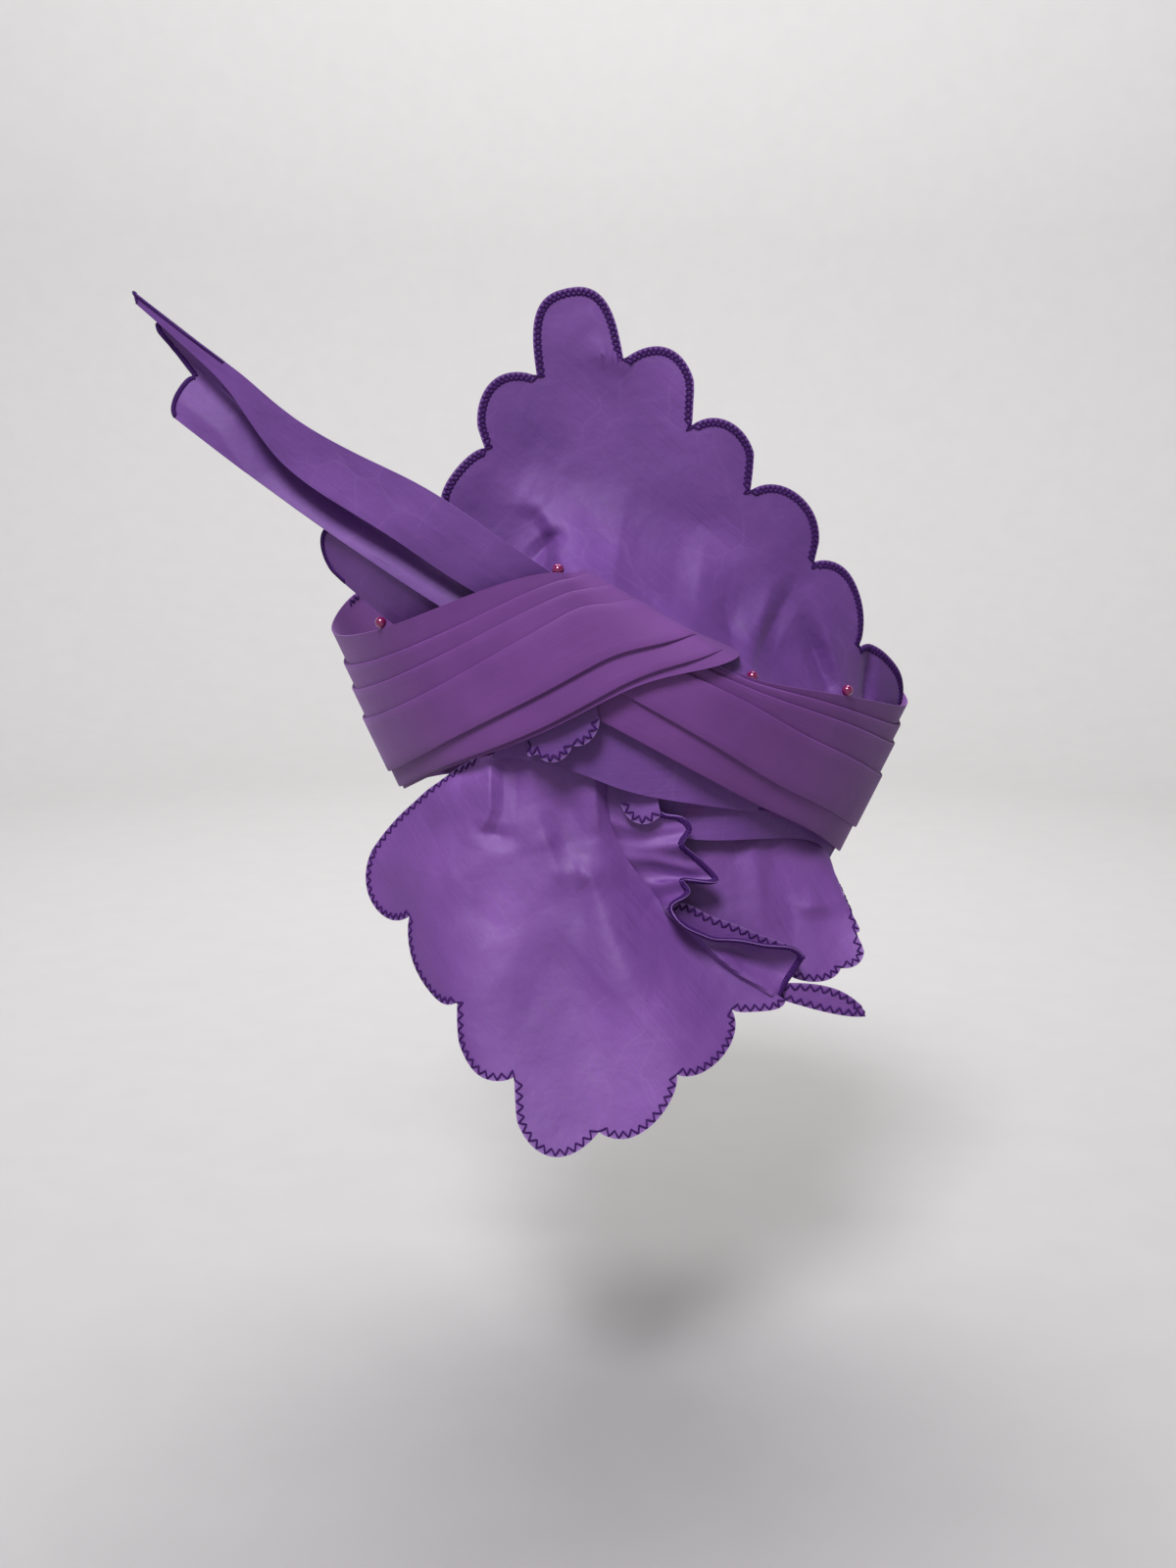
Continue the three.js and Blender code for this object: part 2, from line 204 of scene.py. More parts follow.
@dataclass(frozen=True)
class Taffeta:
    """Acetate taffeta, plain-woven and calendered stiff.

    The eye gets a fine rib, long slubs along one thread, thin pale creases where it was crushed, a
    soft satin gleam on every fold and deep violet in the hollows, where light goes from cloth to cloth.

    Attributes:
        name: the material's name.
        dark: colour of its darkest clouds.
        ground: colour of most of it.
        light: colour of its lightest clouds.
        rim: colour of worn creases and of the cloth right at its edge.
        gleam: tint of the gleam.
        fuzz: tint of the sheen.
        slub_length: length of one slub.
        slub_width: width of one slub.
        slub_depth: height of one slub.
        slub_strength: how much the slubs change the tone.
        rib: room between two ribs.
        rib_depth: height of a rib.
        cloud: size of the broad changes of tone.
        crease: size of the facets between worn creases.
        wear: how pale the worn creases are.
        crinkle: size of the fine crinkles.
        crinkle_depth: height of the fine crinkles.
        roughness: spread of the gleam.
        gloss: strength of the gleam.
        sheen: strength of the sheen where the cloth turns away.
    """

    name: str
    dark: str = "#572C73"
    ground: str = "#60337C"
    light: str = "#6A3C87"
    rim: str = "#8E74A2"
    gleam: str = "#EFE4FA"
    fuzz: str = "#C7A6E0"
    slub_length: float = 40.0
    slub_width: float = 0.55
    slub_depth: float = 0.3
    slub_strength: float = 0.22
    rib: float = 0.8  # the real rib is 0.25 mm; drawn this coarse so that it shows
    rib_depth: float = 0.1
    cloud: float = 60.0
    crease: float = 24.0
    wear: float = 0.07
    crinkle: float = 11.0
    crinkle_depth: float = 2.0
    roughness: float = 0.64
    gloss: float = 0.85
    sheen: float = 0.3

    def material(self) -> bpy.types.Material:
        """Builds the node material.

        Returns:
            The material.
        """
        made, tree = new_material(self.name)
        grain = add_node(tree, "UVMap", uv_map="grain").outputs["UV"]
        place = add_node(tree, "TexCoord").outputs["Object"]
        slub_scale = (1 / (self.slub_length * MM), 1 / (self.slub_width * MM), 1.0)
        slub_place = add_node(tree, "Mapping", {"Vector": grain, "Scale": slub_scale})
        slub = add_node(tree, "TexNoise", {"Vector": slub_place.outputs[0], "Scale": 1.0, "Detail": 3.0})
        cloud = add_node(tree, "TexNoise", {"Vector": place, "Scale": 1 / (self.cloud * MM), "Detail": 3.0})
        colours = add_node(tree, "ValToRGB", {"Fac": cloud.outputs["Fac"]})
        ramp = colours.color_ramp.elements
        ramp[0].position, ramp[0].color = 0.35, linear(self.dark)
        ramp[1].position, ramp[1].color = 0.68, linear(self.light)
        ramp.new(0.52).color = linear(self.ground)
        low, high = 1 - self.slub_strength / 2, 1 + self.slub_strength / 2
        streak = add_node(
            tree, "MapRange", {"Value": slub.outputs["Fac"], 1: 0.32, 2: 0.68, 3: low, 4: high}
        )
        streaked = add_node(
            tree, "VectorMath", {0: colours.outputs[0], "Scale": streak.outputs[0]}, operation="SCALE"
        )
        bend = add_node(tree, "TexNoise", {"Vector": place, "Scale": 45.0, "Detail": 1.0})
        bent = add_node(
            tree, "VectorMath", {0: bend.outputs["Color"], 1: (0.02, 0.02, 0.02), 2: place},
            operation="MULTIPLY_ADD",
        )
        cells = add_node(
            tree, "TexVoronoi", {"Vector": bent.outputs[0], "Scale": 1 / (self.crease * MM)},
            feature="DISTANCE_TO_EDGE",
        )
        crease = add_node(
            tree, "MapRange", {"Value": cells.outputs["Distance"], 1: 0.0, 2: 0.035, 3: 1.0, 4: 0.0}
        )
        patch = add_node(
            tree, "MapRange", {"Value": cloud.outputs["Fac"], 1: 0.45, 2: 0.6, 3: 0.0, 4: self.wear}
        )
        worn = add_node(tree, "Math", {0: crease.outputs[0], 1: patch.outputs[0]}, operation="MULTIPLY")
        creased = add_node(
            tree, "MixRGB",
            {"Fac": worn.outputs[0], "Color1": streaked.outputs[0], "Color2": linear(self.rim)},
        )
        edge = add_node(tree, "Attribute", attribute_name="edge_mm")
        near = add_node(tree, "MapRange", {"Value": edge.outputs["Fac"], 1: 0.2, 2: 1.2, 3: 0.25, 4: 0.0})
        rimmed = add_node(
            tree, "MixRGB",
            {"Fac": near.outputs[0], "Color1": creased.outputs[0], "Color2": linear(self.rim)},
        )
        rough_low, rough_high = self.roughness - 0.05, self.roughness + 0.09
        gloss = add_node(
            tree, "MapRange", {"Value": slub.outputs["Fac"], 1: 0.3, 2: 0.7, 3: rough_low, 4: rough_high}
        )
        rib_place = add_node(tree, "Mapping", {"Vector": grain, "Scale": (1 / (self.rib * MM),) * 3})
        weave = add_node(
            tree, "TexWave", {"Vector": rib_place.outputs[0], "Scale": 0.5, "Distortion": 1.2},
            wave_type="BANDS", bands_direction="Y",
        )
        crinkle = add_node(
            tree, "TexNoise",
            {"Vector": place, "Scale": 1 / (self.crinkle * MM), "Detail": 3.0, "Roughness": 0.55},
        )
        crinkled = add_node(
            tree, "Bump",
            {"Height": crinkle.outputs["Fac"], "Distance": self.crinkle_depth * MM, "Strength": 0.3},
        )
        slubbed = add_node(
            tree, "Bump",
            {"Height": slub.outputs["Fac"], "Distance": self.slub_depth * MM, "Strength": 0.16,
             "Normal": crinkled.outputs[0]},
        )
        woven = add_node(
            tree, "Bump",
            {"Height": weave.outputs["Fac"], "Distance": self.rib_depth * MM, "Strength": 0.15,
             "Normal": slubbed.outputs[0]},
        )
        shader = add_node(
            tree, "BsdfPrincipled",
            {"Base Color": rimmed.outputs[0], "Roughness": gloss.outputs[0], "Normal": woven.outputs[0],
             "Specular IOR Level": self.gloss, "Specular Tint": linear(self.gleam),
             "Sheen Weight": self.sheen, "Sheen Roughness": 0.35, "Sheen Tint": linear(self.fuzz)},
        )
        add_node(tree, "OutputMaterial", {"Surface": shader.outputs[0]})
        return made


@dataclass(frozen=True)
class SewingThread:
    """Spun polyester sewing thread, dyed dark purple: two plies give a fine slanting ridge, with a painted
    highlight on each.

    Attributes:
        name: the material's name.
        colour: its dyed colour.
        bright: painted highlight, a lighter colour on the ridges of the plies.
        ply: room between two ridges.
        ply_depth: height of a ridge.
    """

    name: str = "spun_polyester_thread"
    colour: str = "#26063F"
    bright: str = "#3A0F5C"
    ply: float = 0.9  # a real ply is near 0.3 mm; drawn this coarse so that it shows
    ply_depth: float = 0.2

    def material(self) -> bpy.types.Material:
        """Builds the node material.

        Returns:
            The material.
        """
        made, tree = new_material(self.name)
        place = add_node(tree, "TexCoord").outputs["Object"]
        twist = add_node(
            tree, "TexWave", {"Vector": place, "Scale": 1 / (self.ply * MM) / 3, "Distortion": 3.0},
            wave_type="BANDS", bands_direction="DIAGONAL",
        )
        # Painted highlight: the ridges of the plies are mixed lighter.
        tone = add_node(tree, "MixRGB", {"Fac": twist.outputs["Fac"], "Color1": linear(self.colour),
                                         "Color2": linear(self.bright)})
        ply = add_node(tree, "Bump", {"Height": twist.outputs["Fac"], "Distance": self.ply_depth * MM,
                                       "Strength": 0.4})
        shader = add_node(
            tree, "BsdfPrincipled",
            {"Base Color": tone.outputs[0], "Roughness": 0.7, "Specular IOR Level": 0.2,
             "Normal": ply.outputs[0]},
        )
        add_node(tree, "OutputMaterial", {"Surface": shader.outputs[0]})
        return made


@dataclass(frozen=True)
class PearlDip:
    """Moulded acrylic bead dipped in magenta pearl lacquer: a bright glint on a deep body colour.

    Attributes:
        name: the material's name.
        colour: colour of the bead.
        painted_sheen: painted sheen, a lighter colour mixed in where the bead turns away from the eye.
        swirl: size of the lacquer's swirls.
    """

    name: str = "pearl_dipped_acrylic"
    colour: str = "#6A0745"
    painted_sheen: str = "#9A1F6A"
    swirl: float = 1.43

    def material(self) -> bpy.types.Material:
        """Builds the node material.

        Returns:
            The material.
        """
        made, tree = new_material(self.name)
        place = add_node(tree, "TexCoord").outputs["Object"]
        swirl = add_node(tree, "TexNoise", {"Vector": place, "Scale": 1 / (self.swirl * MM), "Detail": 2.0})
        # Painted sheen: the swirls mix in a lighter colour where the bead turns away from the eye.
        facing = add_node(tree, "LayerWeight", {"Blend": 0.35})
        share = add_node(
            tree, "Math", {0: swirl.outputs["Fac"], 1: facing.outputs["Facing"]}, operation="MULTIPLY"
        )
        tone = add_node(tree, "MixRGB", {"Fac": share.outputs[0], "Color1": linear(self.colour),
                                         "Color2": linear(self.painted_sheen)})
        shader = add_node(
            tree, "BsdfPrincipled",
            {"Base Color": tone.outputs[0], "Roughness": 0.22, "Metallic": 0.25, "Coat Weight": 0.9,
             "Coat Roughness": 0.05},
        )
        add_node(tree, "OutputMaterial", {"Surface": shader.outputs[0]})
        return made


@dataclass(frozen=True)
class PinSteel:
    """Drawn and nickel-plated pin wire: a thin bright line with fine marks along it.

    Attributes:
        name: the material's name.
        colour: colour of the plating.
        mark: size of the drawing marks.
    """

    name: str = "nickel_plated_steel"
    colour: str = "#C9C6C2"
    mark: float = 0.56

    def material(self) -> bpy.types.Material:
        """Builds the node material.

        Returns:
            The material.
        """
        made, tree = new_material(self.name)
        place = add_node(tree, "TexCoord").outputs["Object"]
        marks = add_node(tree, "TexNoise", {"Vector": place, "Scale": 1 / (self.mark * MM), "Detail": 2.0})
        worn = add_node(tree, "MapRange", {"Value": marks.outputs["Fac"], 3: 0.18, 4: 0.34})
        shader = add_node(
            tree, "BsdfPrincipled",
            {"Base Color": linear(self.colour), "Metallic": 1.0, "Roughness": worn.outputs[0]},
        )
        add_node(tree, "OutputMaterial", {"Surface": shader.outputs[0]})
        return made


@dataclass(frozen=True)
class PaleBoard:
    """Matt painted studio board: pale, with the faintest roller mottle.

    Attributes:
        name: the material's name.
        colour: the paint's colour.
        pale: colour of the mottle.
        mottle: size of the mottle.
    """

    name: str = "matt_painted_board"
    colour: str = "#939291"
    pale: str = "#979695"
    mottle: float = 33.3

    def material(self) -> bpy.types.Material:
        """Builds the node material.

        Returns:
            The material.
        """
        made, tree = new_material(self.name)
        place = add_node(tree, "TexCoord").outputs["Object"]
        mottle_scale = 1 / (self.mottle * MM)
        mottle = add_node(tree, "TexNoise", {"Vector": place, "Scale": mottle_scale, "Detail": 2.0})
        tone = add_node(tree, "MixRGB", {"Fac": mottle.outputs["Fac"], "Color1": linear(self.colour),
                                         "Color2": linear(self.pale)})
        shader = add_node(tree, "BsdfPrincipled", {"Base Color": tone.outputs[0], "Roughness": 0.8})
        add_node(tree, "OutputMaterial", {"Surface": shader.outputs[0]})
        return made


def line_through(places: list, shares: np.ndarray) -> np.ndarray:
    """Reads the smooth line through some places, a natural cubic spline.

    Args:
        places: the places that it goes through.
        shares: where to read it, 0 at the first place and 1 at the last, with even room for each.

    Returns:
        One place for each share.
    """
    points = np.asarray(places, float)
    count = len(points)
    weights = np.diag(np.full(count, 4.0)) + np.eye(count, k=1) + np.eye(count, k=-1)
    weights[0, 0] = weights[-1, -1] = 2.0
    padded = np.vstack([points[:1], points, points[-1:]])
    slopes = np.linalg.solve(weights, 3 * (padded[2:] - padded[:-2]))
    spot = shares * (count - 1)
    first = np.clip(np.floor(spot).astype(int), 0, count - 2)
    part = (spot - first)[:, None]
    start, end, leave, reach = points[first], points[first + 1], slopes[first], slopes[first + 1]
    bend = 3 * (end - start) - 2 * leave - reach
    return start + leave * part + bend * part ** 2 + (2 * (start - end) + leave + reach) * part ** 3


def unit(vectors: np.ndarray) -> np.ndarray:
    """Gives each vector the length one."""
    return vectors / np.maximum(np.linalg.norm(vectors, axis=-1, keepdims=True), 1e-9)


def grid_normals(grid: np.ndarray) -> np.ndarray:
    """Works out the normal at each place of a grid."""
    return unit(np.cross(np.gradient(grid, axis=0), np.gradient(grid, axis=1)))


def lengths_along(grid: np.ndarray, axis: int) -> np.ndarray:
    """Adds up the length of a grid's lines along one axis, from 0 at its first place."""
    steps = np.linalg.norm(np.diff(grid, axis=axis), axis=2)
    return np.insert(np.cumsum(steps, axis=axis), 0, 0.0, axis=axis)


def crumple(places: np.ndarray, cell: float, seed: float) -> np.ndarray:
    """Height of paper-like crumples: sharp ridges where two cells meet.

    Args:
        places: places in millimetres, any shape ending in 3.
        cell: size of a facet in millimetres.
        seed: a shift, so that two sheets don't crumple alike.

    Returns:
        Heights from about 0 to 1, in the shape of the places.
    """
    flat = places.reshape(-1, 3) / cell + seed
    heights = np.empty(len(flat))
    for k, spot in enumerate(flat):
        bent = Vector(spot) + 0.35 * noise.noise_vector(Vector(spot) * 0.9)
        heights[k] = noise.voronoi(bent)[0][0]
    return heights.reshape(places.shape[:-1])


def swell(places: np.ndarray, size: float, seed: float) -> np.ndarray:
    """Soft uneven swell of cloth, about -1 to 1, with waves of one size in millimetres."""
    flat = places.reshape(-1, 3) / size + seed
    return np.array([noise.noise(Vector(p)) for p in flat]).reshape(places.shape[:-1])


def make_object(name: str, places: np.ndarray, faces: np.ndarray | list, material: bpy.types.Material,
                sharp: float = 40.0) -> bpy.types.Object:
    """Makes a smooth-shaded mesh object from places in millimetres.

    Args:
        name: the piece's name.
        places: the vertices.
        faces: vertex numbers of each face.
        material: its finish.
        sharp: edges that turn more than these degrees stay sharp.

    Returns:
        The linked object.
    """
    mesh = bpy.data.meshes.new(name)
    rows = faces.tolist() if isinstance(faces, np.ndarray) else faces
    mesh.from_pydata((places * MM).tolist(), [], rows)
    mesh.shade_smooth()
    mesh.set_sharp_from_angle(angle=math.radians(sharp))
    mesh.materials.append(material)
    made = bpy.data.objects.new(name, mesh)
    bpy.context.scene.collection.objects.link(made)
    return made


def shell_faces(lines: int, across: int) -> np.ndarray:
    """Lays out the faces of a closed shell round a grid: outer face, inner face and four narrow edges.

    Args:
        lines: places along the grid.
        across: places across it.

    Returns:
        Vertex numbers of each four-sided face; the inner places follow the outer ones.
    """
    count = lines * across
    at = np.arange(count).reshape(lines, across)
    low, high = at[:-1, :-1].ravel(), at[1:, :-1].ravel()
    high_next, low_next = at[1:, 1:].ravel(), at[:-1, 1:].ravel()
    outer = np.stack([low, high, high_next, low_next], 1)
    inner = np.stack([low, low_next, high_next, high], 1) + count
    strips = []
    for line, turned in ((at[:, 0], False), (at[:, -1], True), (at[0], True), (at[-1], False)):
        a, b = line[:-1], line[1:]
        strips.append(np.stack([a, b, b + count, a + count] if turned else [b, a, a + count, b + count], 1))
    return np.vstack([outer, inner, *strips])


def cloth_object(name: str, grid: np.ndarray, material: bpy.types.Material, edge: np.ndarray,
                 grain: np.ndarray) -> bpy.types.Object:
    """Makes a thin closed shell of cloth round a grid of places.

    Args:
        name: the piece's name.
        grid: places of the middle of the cloth, lines by across by 3.
        material: its finish.
        edge: room from each place to the nearest stitched edge, in millimetres.
        grain: place of each grid place in the flat cloth, in millimetres.

    Returns:
        The object, with a UV map "grain" in metres and an attribute "edge_mm".
    """
    normals = grid_normals(grid) * CLOTH_THICK / 2
    places = np.concatenate([(grid + normals).reshape(-1, 3), (grid - normals).reshape(-1, 3)])
    made = make_object(name, places, shell_faces(*grid.shape[:2]), material)
    mesh = made.data
    corner = np.empty(len(mesh.loops), np.int32)
    mesh.loops.foreach_get("vertex_index", corner)
    flat = np.tile(grain.reshape(-1, 2), (2, 1)) * MM
    mesh.uv_layers.new(name="grain").data.foreach_set("uv", flat[corner].astype(np.float32).ravel())
    room = mesh.attributes.new("edge_mm", "FLOAT", "POINT")
    room.data.foreach_set("value", np.tile(edge.ravel(), 2).astype(np.float32))
    return made


@dataclass(frozen=True)
class ZigzagSeam:
    """Zigzag seam along the edge of a sheet, on both faces.

    Attributes:
        stitch: its pitch and passes.
        outside: room from the edge to the outer points.
        inside: room from the edge to the inner points.
        radius: half the thread's thickness.
        sides: how many sides the thread's round has.
        parts: pieces of thread from one needle place to the next.
    """

    stitch: Stitch = Stitch.ZIGZAG
    outside: float = 0.3
    inside: float = 3.2
    radius: float = 0.4
    sides: int = 6
    parts: int = 5

    def points(self, edge: np.ndarray, inward: np.ndarray, shift: float) -> np.ndarray:
        """Places where the needle goes in, by turns near the edge and away from it.

        Args:
            edge: places along the edge.
            inward: direction into the sheet at each place.
            shift: share of the pitch by which this pass is moved along.

        Returns:
            The needle places.
        """
        pitch = self.stitch.value[0]
        run = np.insert(np.cumsum(np.linalg.norm(np.diff(edge, axis=0), axis=1)), 0, 0.0)
        count = max(int(run[-1] / pitch * 2), 2)
        spots = np.clip((np.arange(count + 1) / count + shift / count) * run[-1], 0, run[-1])
        room = np.where(np.arange(count + 1) % 2 == 0, self.outside, self.inside)
        place = np.stack([np.interp(spots, run, edge[:, k]) for k in range(3)], 1)
        into = unit(np.stack([np.interp(spots, run, inward[:, k]) for k in range(3)], 1))
        return place + into * room[:, None]

    def legs(self, points: np.ndarray, tree: BVHTree, face: float) -> tuple[np.ndarray, np.ndarray]:
        """Thread from each needle place to the next, as round tubes on one face of the cloth.

        Args:
            points: the needle places.
            tree: the sheet, to lay the thread on.
            face: 1 for the face along the sheet's normals, -1 for the other.

        Returns:
            Vertices, and four-sided faces.
        """
        share = np.linspace(0, 1, self.parts + 1)
        line = points[:-1, None] * (1 - share)[None, :, None] + points[1:, None] * share[None, :, None]
        laid, up = np.empty_like(line), np.empty_like(line)
        for index in np.ndindex(line.shape[:2]):
            spot, normal, _, _ = tree.find_nearest(Vector(line[index]))
            laid[index], up[index] = spot, normal
        lift = CLOTH_THICK / 2 + self.radius * (1.5 * np.sin(np.pi * share) ** 0.5 - 0.6)
        laid = laid + up * face * lift[None, :, None]
        along = unit(np.gradient(laid, axis=1))
        across = unit(np.cross(along, up))
        over = np.cross(across, along)
        turns = np.arange(self.sides) * math.tau / self.sides
        ring = np.cos(turns)[:, None] * over[:, :, None, :] + np.sin(turns)[:, None] * across[:, :, None, :]
        places = laid[:, :, None, :] + ring * self.radius
        number = np.arange(places.shape[0] * places.shape[1] * self.sides).reshape(places.shape[:3])
        here, there = number[:, :-1], number[:, 1:]
        faces = np.stack([here, np.roll(here, -1, 2), np.roll(there, -1, 2), there], -1).reshape(-1, 4)
        caps = [number[:, end, order] for end in (0, -1) for order in ((0, 1, 2, 3), (0, 3, 4, 5))]
        return places.reshape(-1, 3), np.vstack([faces, *[cap.reshape(-1, 4) for cap in caps]])

    def build(self, name: str, grid: np.ndarray, sides: tuple[Side, ...],
              material: bpy.types.Material, start: float = 0.0) -> bpy.types.Object:
        """Sews the seam along some edges of a sheet.

        Args:
            name: the piece's name.
            grid: the sheet's places.
            sides: which of its edges are sewn.
            material: the thread's finish.
            start: share of the rim's length where its stitching starts.

        Returns:
            One object with every stitch.
        """
        lines, across = grid.shape[:2]
        at = np.arange(lines * across).reshape(lines, across)
        quads = np.stack([at[:-1, :-1], at[1:, :-1], at[1:, 1:], at[:-1, 1:]], -1).reshape(-1, 4)
        tree = BVHTree.FromPolygons(grid.reshape(-1, 3).tolist(), quads.tolist())
        normals = grid_normals(grid)
        places, faces, count = [], [], 0
        for side in sides:
            edge, normal, inner = edge_of(grid, normals, side)
            if side is Side.RIM:
                first = int(start * (lines - 1))
                edge, normal, inner = edge[first:], normal[first:], inner[first:]
            inward = unit(np.cross(normal, np.gradient(edge, axis=0)))
            inward *= np.where((inward * (inner - edge)).sum(1, keepdims=True) < 0, -1, 1)
            for turn in range(self.stitch.value[1]):
                needle = self.points(edge, inward, float(turn))
                for face in (1.0, -1.0):
                    more, rows = self.legs(needle, tree, face)
                    places.append(more)
                    faces.append(rows + count)
                    count += len(more)
        return make_object(name, np.vstack(places), np.vstack(faces), material, 80.0)


def edge_of(grid: np.ndarray, normals: np.ndarray, side: Side) -> tuple[np.ndarray, np.ndarray, np.ndarray]:
    """Reads one edge of a grid.

    Args:
        grid: the sheet's places.
        normals: its normals.
        side: which edge.

    Returns:
        Places along the edge, normals there, and the places next to it inside the sheet.
    """
    if side is Side.RIM:
        return grid[:, -1], normals[:, -1], grid[:, -4]
    if side is Side.ROOT:
        return grid[:, 0], normals[:, 0], grid[:, 3]
    if side is Side.FIRST:
        return grid[0], normals[0], grid[3]
    return grid[-1], normals[-1], grid[-4]


@dataclass
class Sheet:
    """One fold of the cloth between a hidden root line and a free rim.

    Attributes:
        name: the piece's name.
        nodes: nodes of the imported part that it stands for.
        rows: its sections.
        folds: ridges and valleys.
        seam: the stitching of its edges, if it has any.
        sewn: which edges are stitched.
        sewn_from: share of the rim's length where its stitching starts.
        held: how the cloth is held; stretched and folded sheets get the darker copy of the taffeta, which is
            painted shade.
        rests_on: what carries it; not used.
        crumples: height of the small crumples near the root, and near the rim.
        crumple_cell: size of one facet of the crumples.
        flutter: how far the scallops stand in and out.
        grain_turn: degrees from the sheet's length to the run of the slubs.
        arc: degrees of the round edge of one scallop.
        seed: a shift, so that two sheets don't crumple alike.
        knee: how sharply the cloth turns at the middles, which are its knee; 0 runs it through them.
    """

    name: str
    nodes: tuple[str, ...]
    rows: tuple[Row, ...]
    folds: tuple[Fold, ...] = ()
    seam: ZigzagSeam | None = None
    sewn: tuple[Side, ...] = ()
    held: Held = Held.FOLDED
    rests_on: tuple[str, ...] = ()
    crumples: Spot = (0.5, 0.25)
    crumple_cell: float = 24.0
    flutter: float = 0.0
    grain_turn: float = 0.0
    arc: float = 150.0
    seed: float = 0.0
    sewn_from: float = 0.0
    knee: float = 0.0

    def stations(self) -> tuple[np.ndarray, np.ndarray, np.ndarray]:
        """Spaces the lines of the grid along the sheet.

        Returns:
            Shares of the length, scallop heights there and the direction from notch to notch.
        """
        shares, lobes, chords = [], [], []
        wide = math.radians(self.arc / 2)
        gaps = len(self.rows) - 1
        for number, (row, after) in enumerate(zip(self.rows, self.rows[1:])):
            chord = np.subtract(after.rim, row.rim).astype(float)
            root = np.linalg.norm(np.subtract(after.root, row.root))
            long = max(np.linalg.norm(chord), root)
            steps = max(5, round((long + row.lobe * 1.4) / GRID_STEP))
            even = np.arange(steps) / steps
            turn = (wide if not row.square else math.pi / 2) * (2 * even - 1)
            part = 0.5 + np.sin(turn) / math.sin(wide) / 2 if row.lobe else even
            height = (np.cos(turn) - math.cos(wide)) / (1 - math.cos(wide))
            if row.square:
                part = 0.5 + np.sign(turn) * np.abs(np.sin(turn)) ** (2 / row.square) / 2
                height = np.abs(np.cos(turn)) ** (2 / row.square)
            shares.append((number + part) / gaps)
            lobes.append(row.lobe * height)
            chords.append(np.tile(unit(chord), (steps, 1)))
        shares.append(np.array([1.0]))
        lobes.append(np.array([0.0]))
        chords.append(chords[-1][-1:])
        return np.concatenate(shares), np.concatenate(lobes), np.vstack(chords)

    def lines(self, shares: np.ndarray) -> tuple[np.ndarray, np.ndarray, np.ndarray]:
        """Reads the root, middle and rim of the sheet without its scallops.

        Args:
            shares: shares of its length.

        Returns:
            The three lines, one place of each for each share.
        """
        root = line_through([row.root for row in self.rows], shares)
        rim = line_through([row.rim for row in self.rows], shares)
        middles = [row.mid or tuple(np.add(row.root, row.rim) / 2) for row in self.rows]
        return root, line_through(middles, shares), rim

    def at(self, shares: np.ndarray, parts: np.ndarray) -> np.ndarray:
        """Reads the sheet without its scallops.

        Args:
            shares: shares of its length.
            parts: shares of its width, 0 at the root and 1 at the rim, and straight on beyond that.

        Returns:
            One place for each pair.
        """
        root, middle, rim = self.lines(shares)
        knee = middle if self.knee else 2 * middle - (root + rim) / 2
        pull = self.knee or 1.0
        beyond = np.maximum(parts - 1, 0)[:, None]
        v = np.minimum(parts, 1)[:, None]
        ends, turn = root * (1 - v) ** 2 + rim * v ** 2, 2 * pull * v * (1 - v)
        bend = (ends + knee * turn) / ((1 - v) ** 2 + v ** 2 + turn)
        return bend + (rim - knee) * 2 * pull * beyond

    def scalloped(self) -> tuple[np.ndarray, np.ndarray]:
        """Finds where the scalloped edge lies on the sheet carried on past its rim.

        Each scallop keeps between its two notches, so that the lines of the grid never cross.

        Returns:
            Shares of the length and of the width of the sheet along the edge.
        """
        shares, lobes, chords = self.stations()
        root, _, rim = self.lines(shares)
        outward = rim - root
        outward = unit(outward - (outward * chords).sum(1, keepdims=True) * chords)
        spots, parts, small = shares.copy(), np.ones(len(shares)), 1e-4
        goal = None
        for _ in range(8):
            along = (self.at(spots + small, parts) - self.at(spots - small, parts)) / (2 * small)
            reach = (self.at(spots, parts + small) - self.at(spots, parts - small)) / (2 * small)
            facing = unit(np.cross(along, reach))
            if goal is None:
                outward = unit(outward - (outward * facing).sum(1, keepdims=True) * facing)
                goal = rim + outward * lobes[:, None]
            miss = goal - self.at(spots, parts)
            long, wide = 1.03 * (along ** 2).sum(1), 1.03 * (reach ** 2).sum(1)
            mixed = (along * reach).sum(1)
            to_along, to_reach = (miss * along).sum(1), (miss * reach).sum(1)
            whole = long * wide - mixed ** 2
            spots = np.clip(spots + (to_along * wide - to_reach * mixed) / whole, -0.03, 1.03)
            parts = parts + (to_reach * long - to_along * mixed) / whole
        gaps = len(self.rows) - 1
        low = np.minimum(np.floor(shares * gaps + 1e-6), gaps - 1) / gaps
        high = low + 1 / gaps
        spots = np.clip(spots, np.where(low > 0, low, -0.03), np.where(high < 1 - 1e-6, high, 1.03))
        return np.maximum.accumulate(spots) * NOTCH_PULL + shares * (1 - NOTCH_PULL), parts

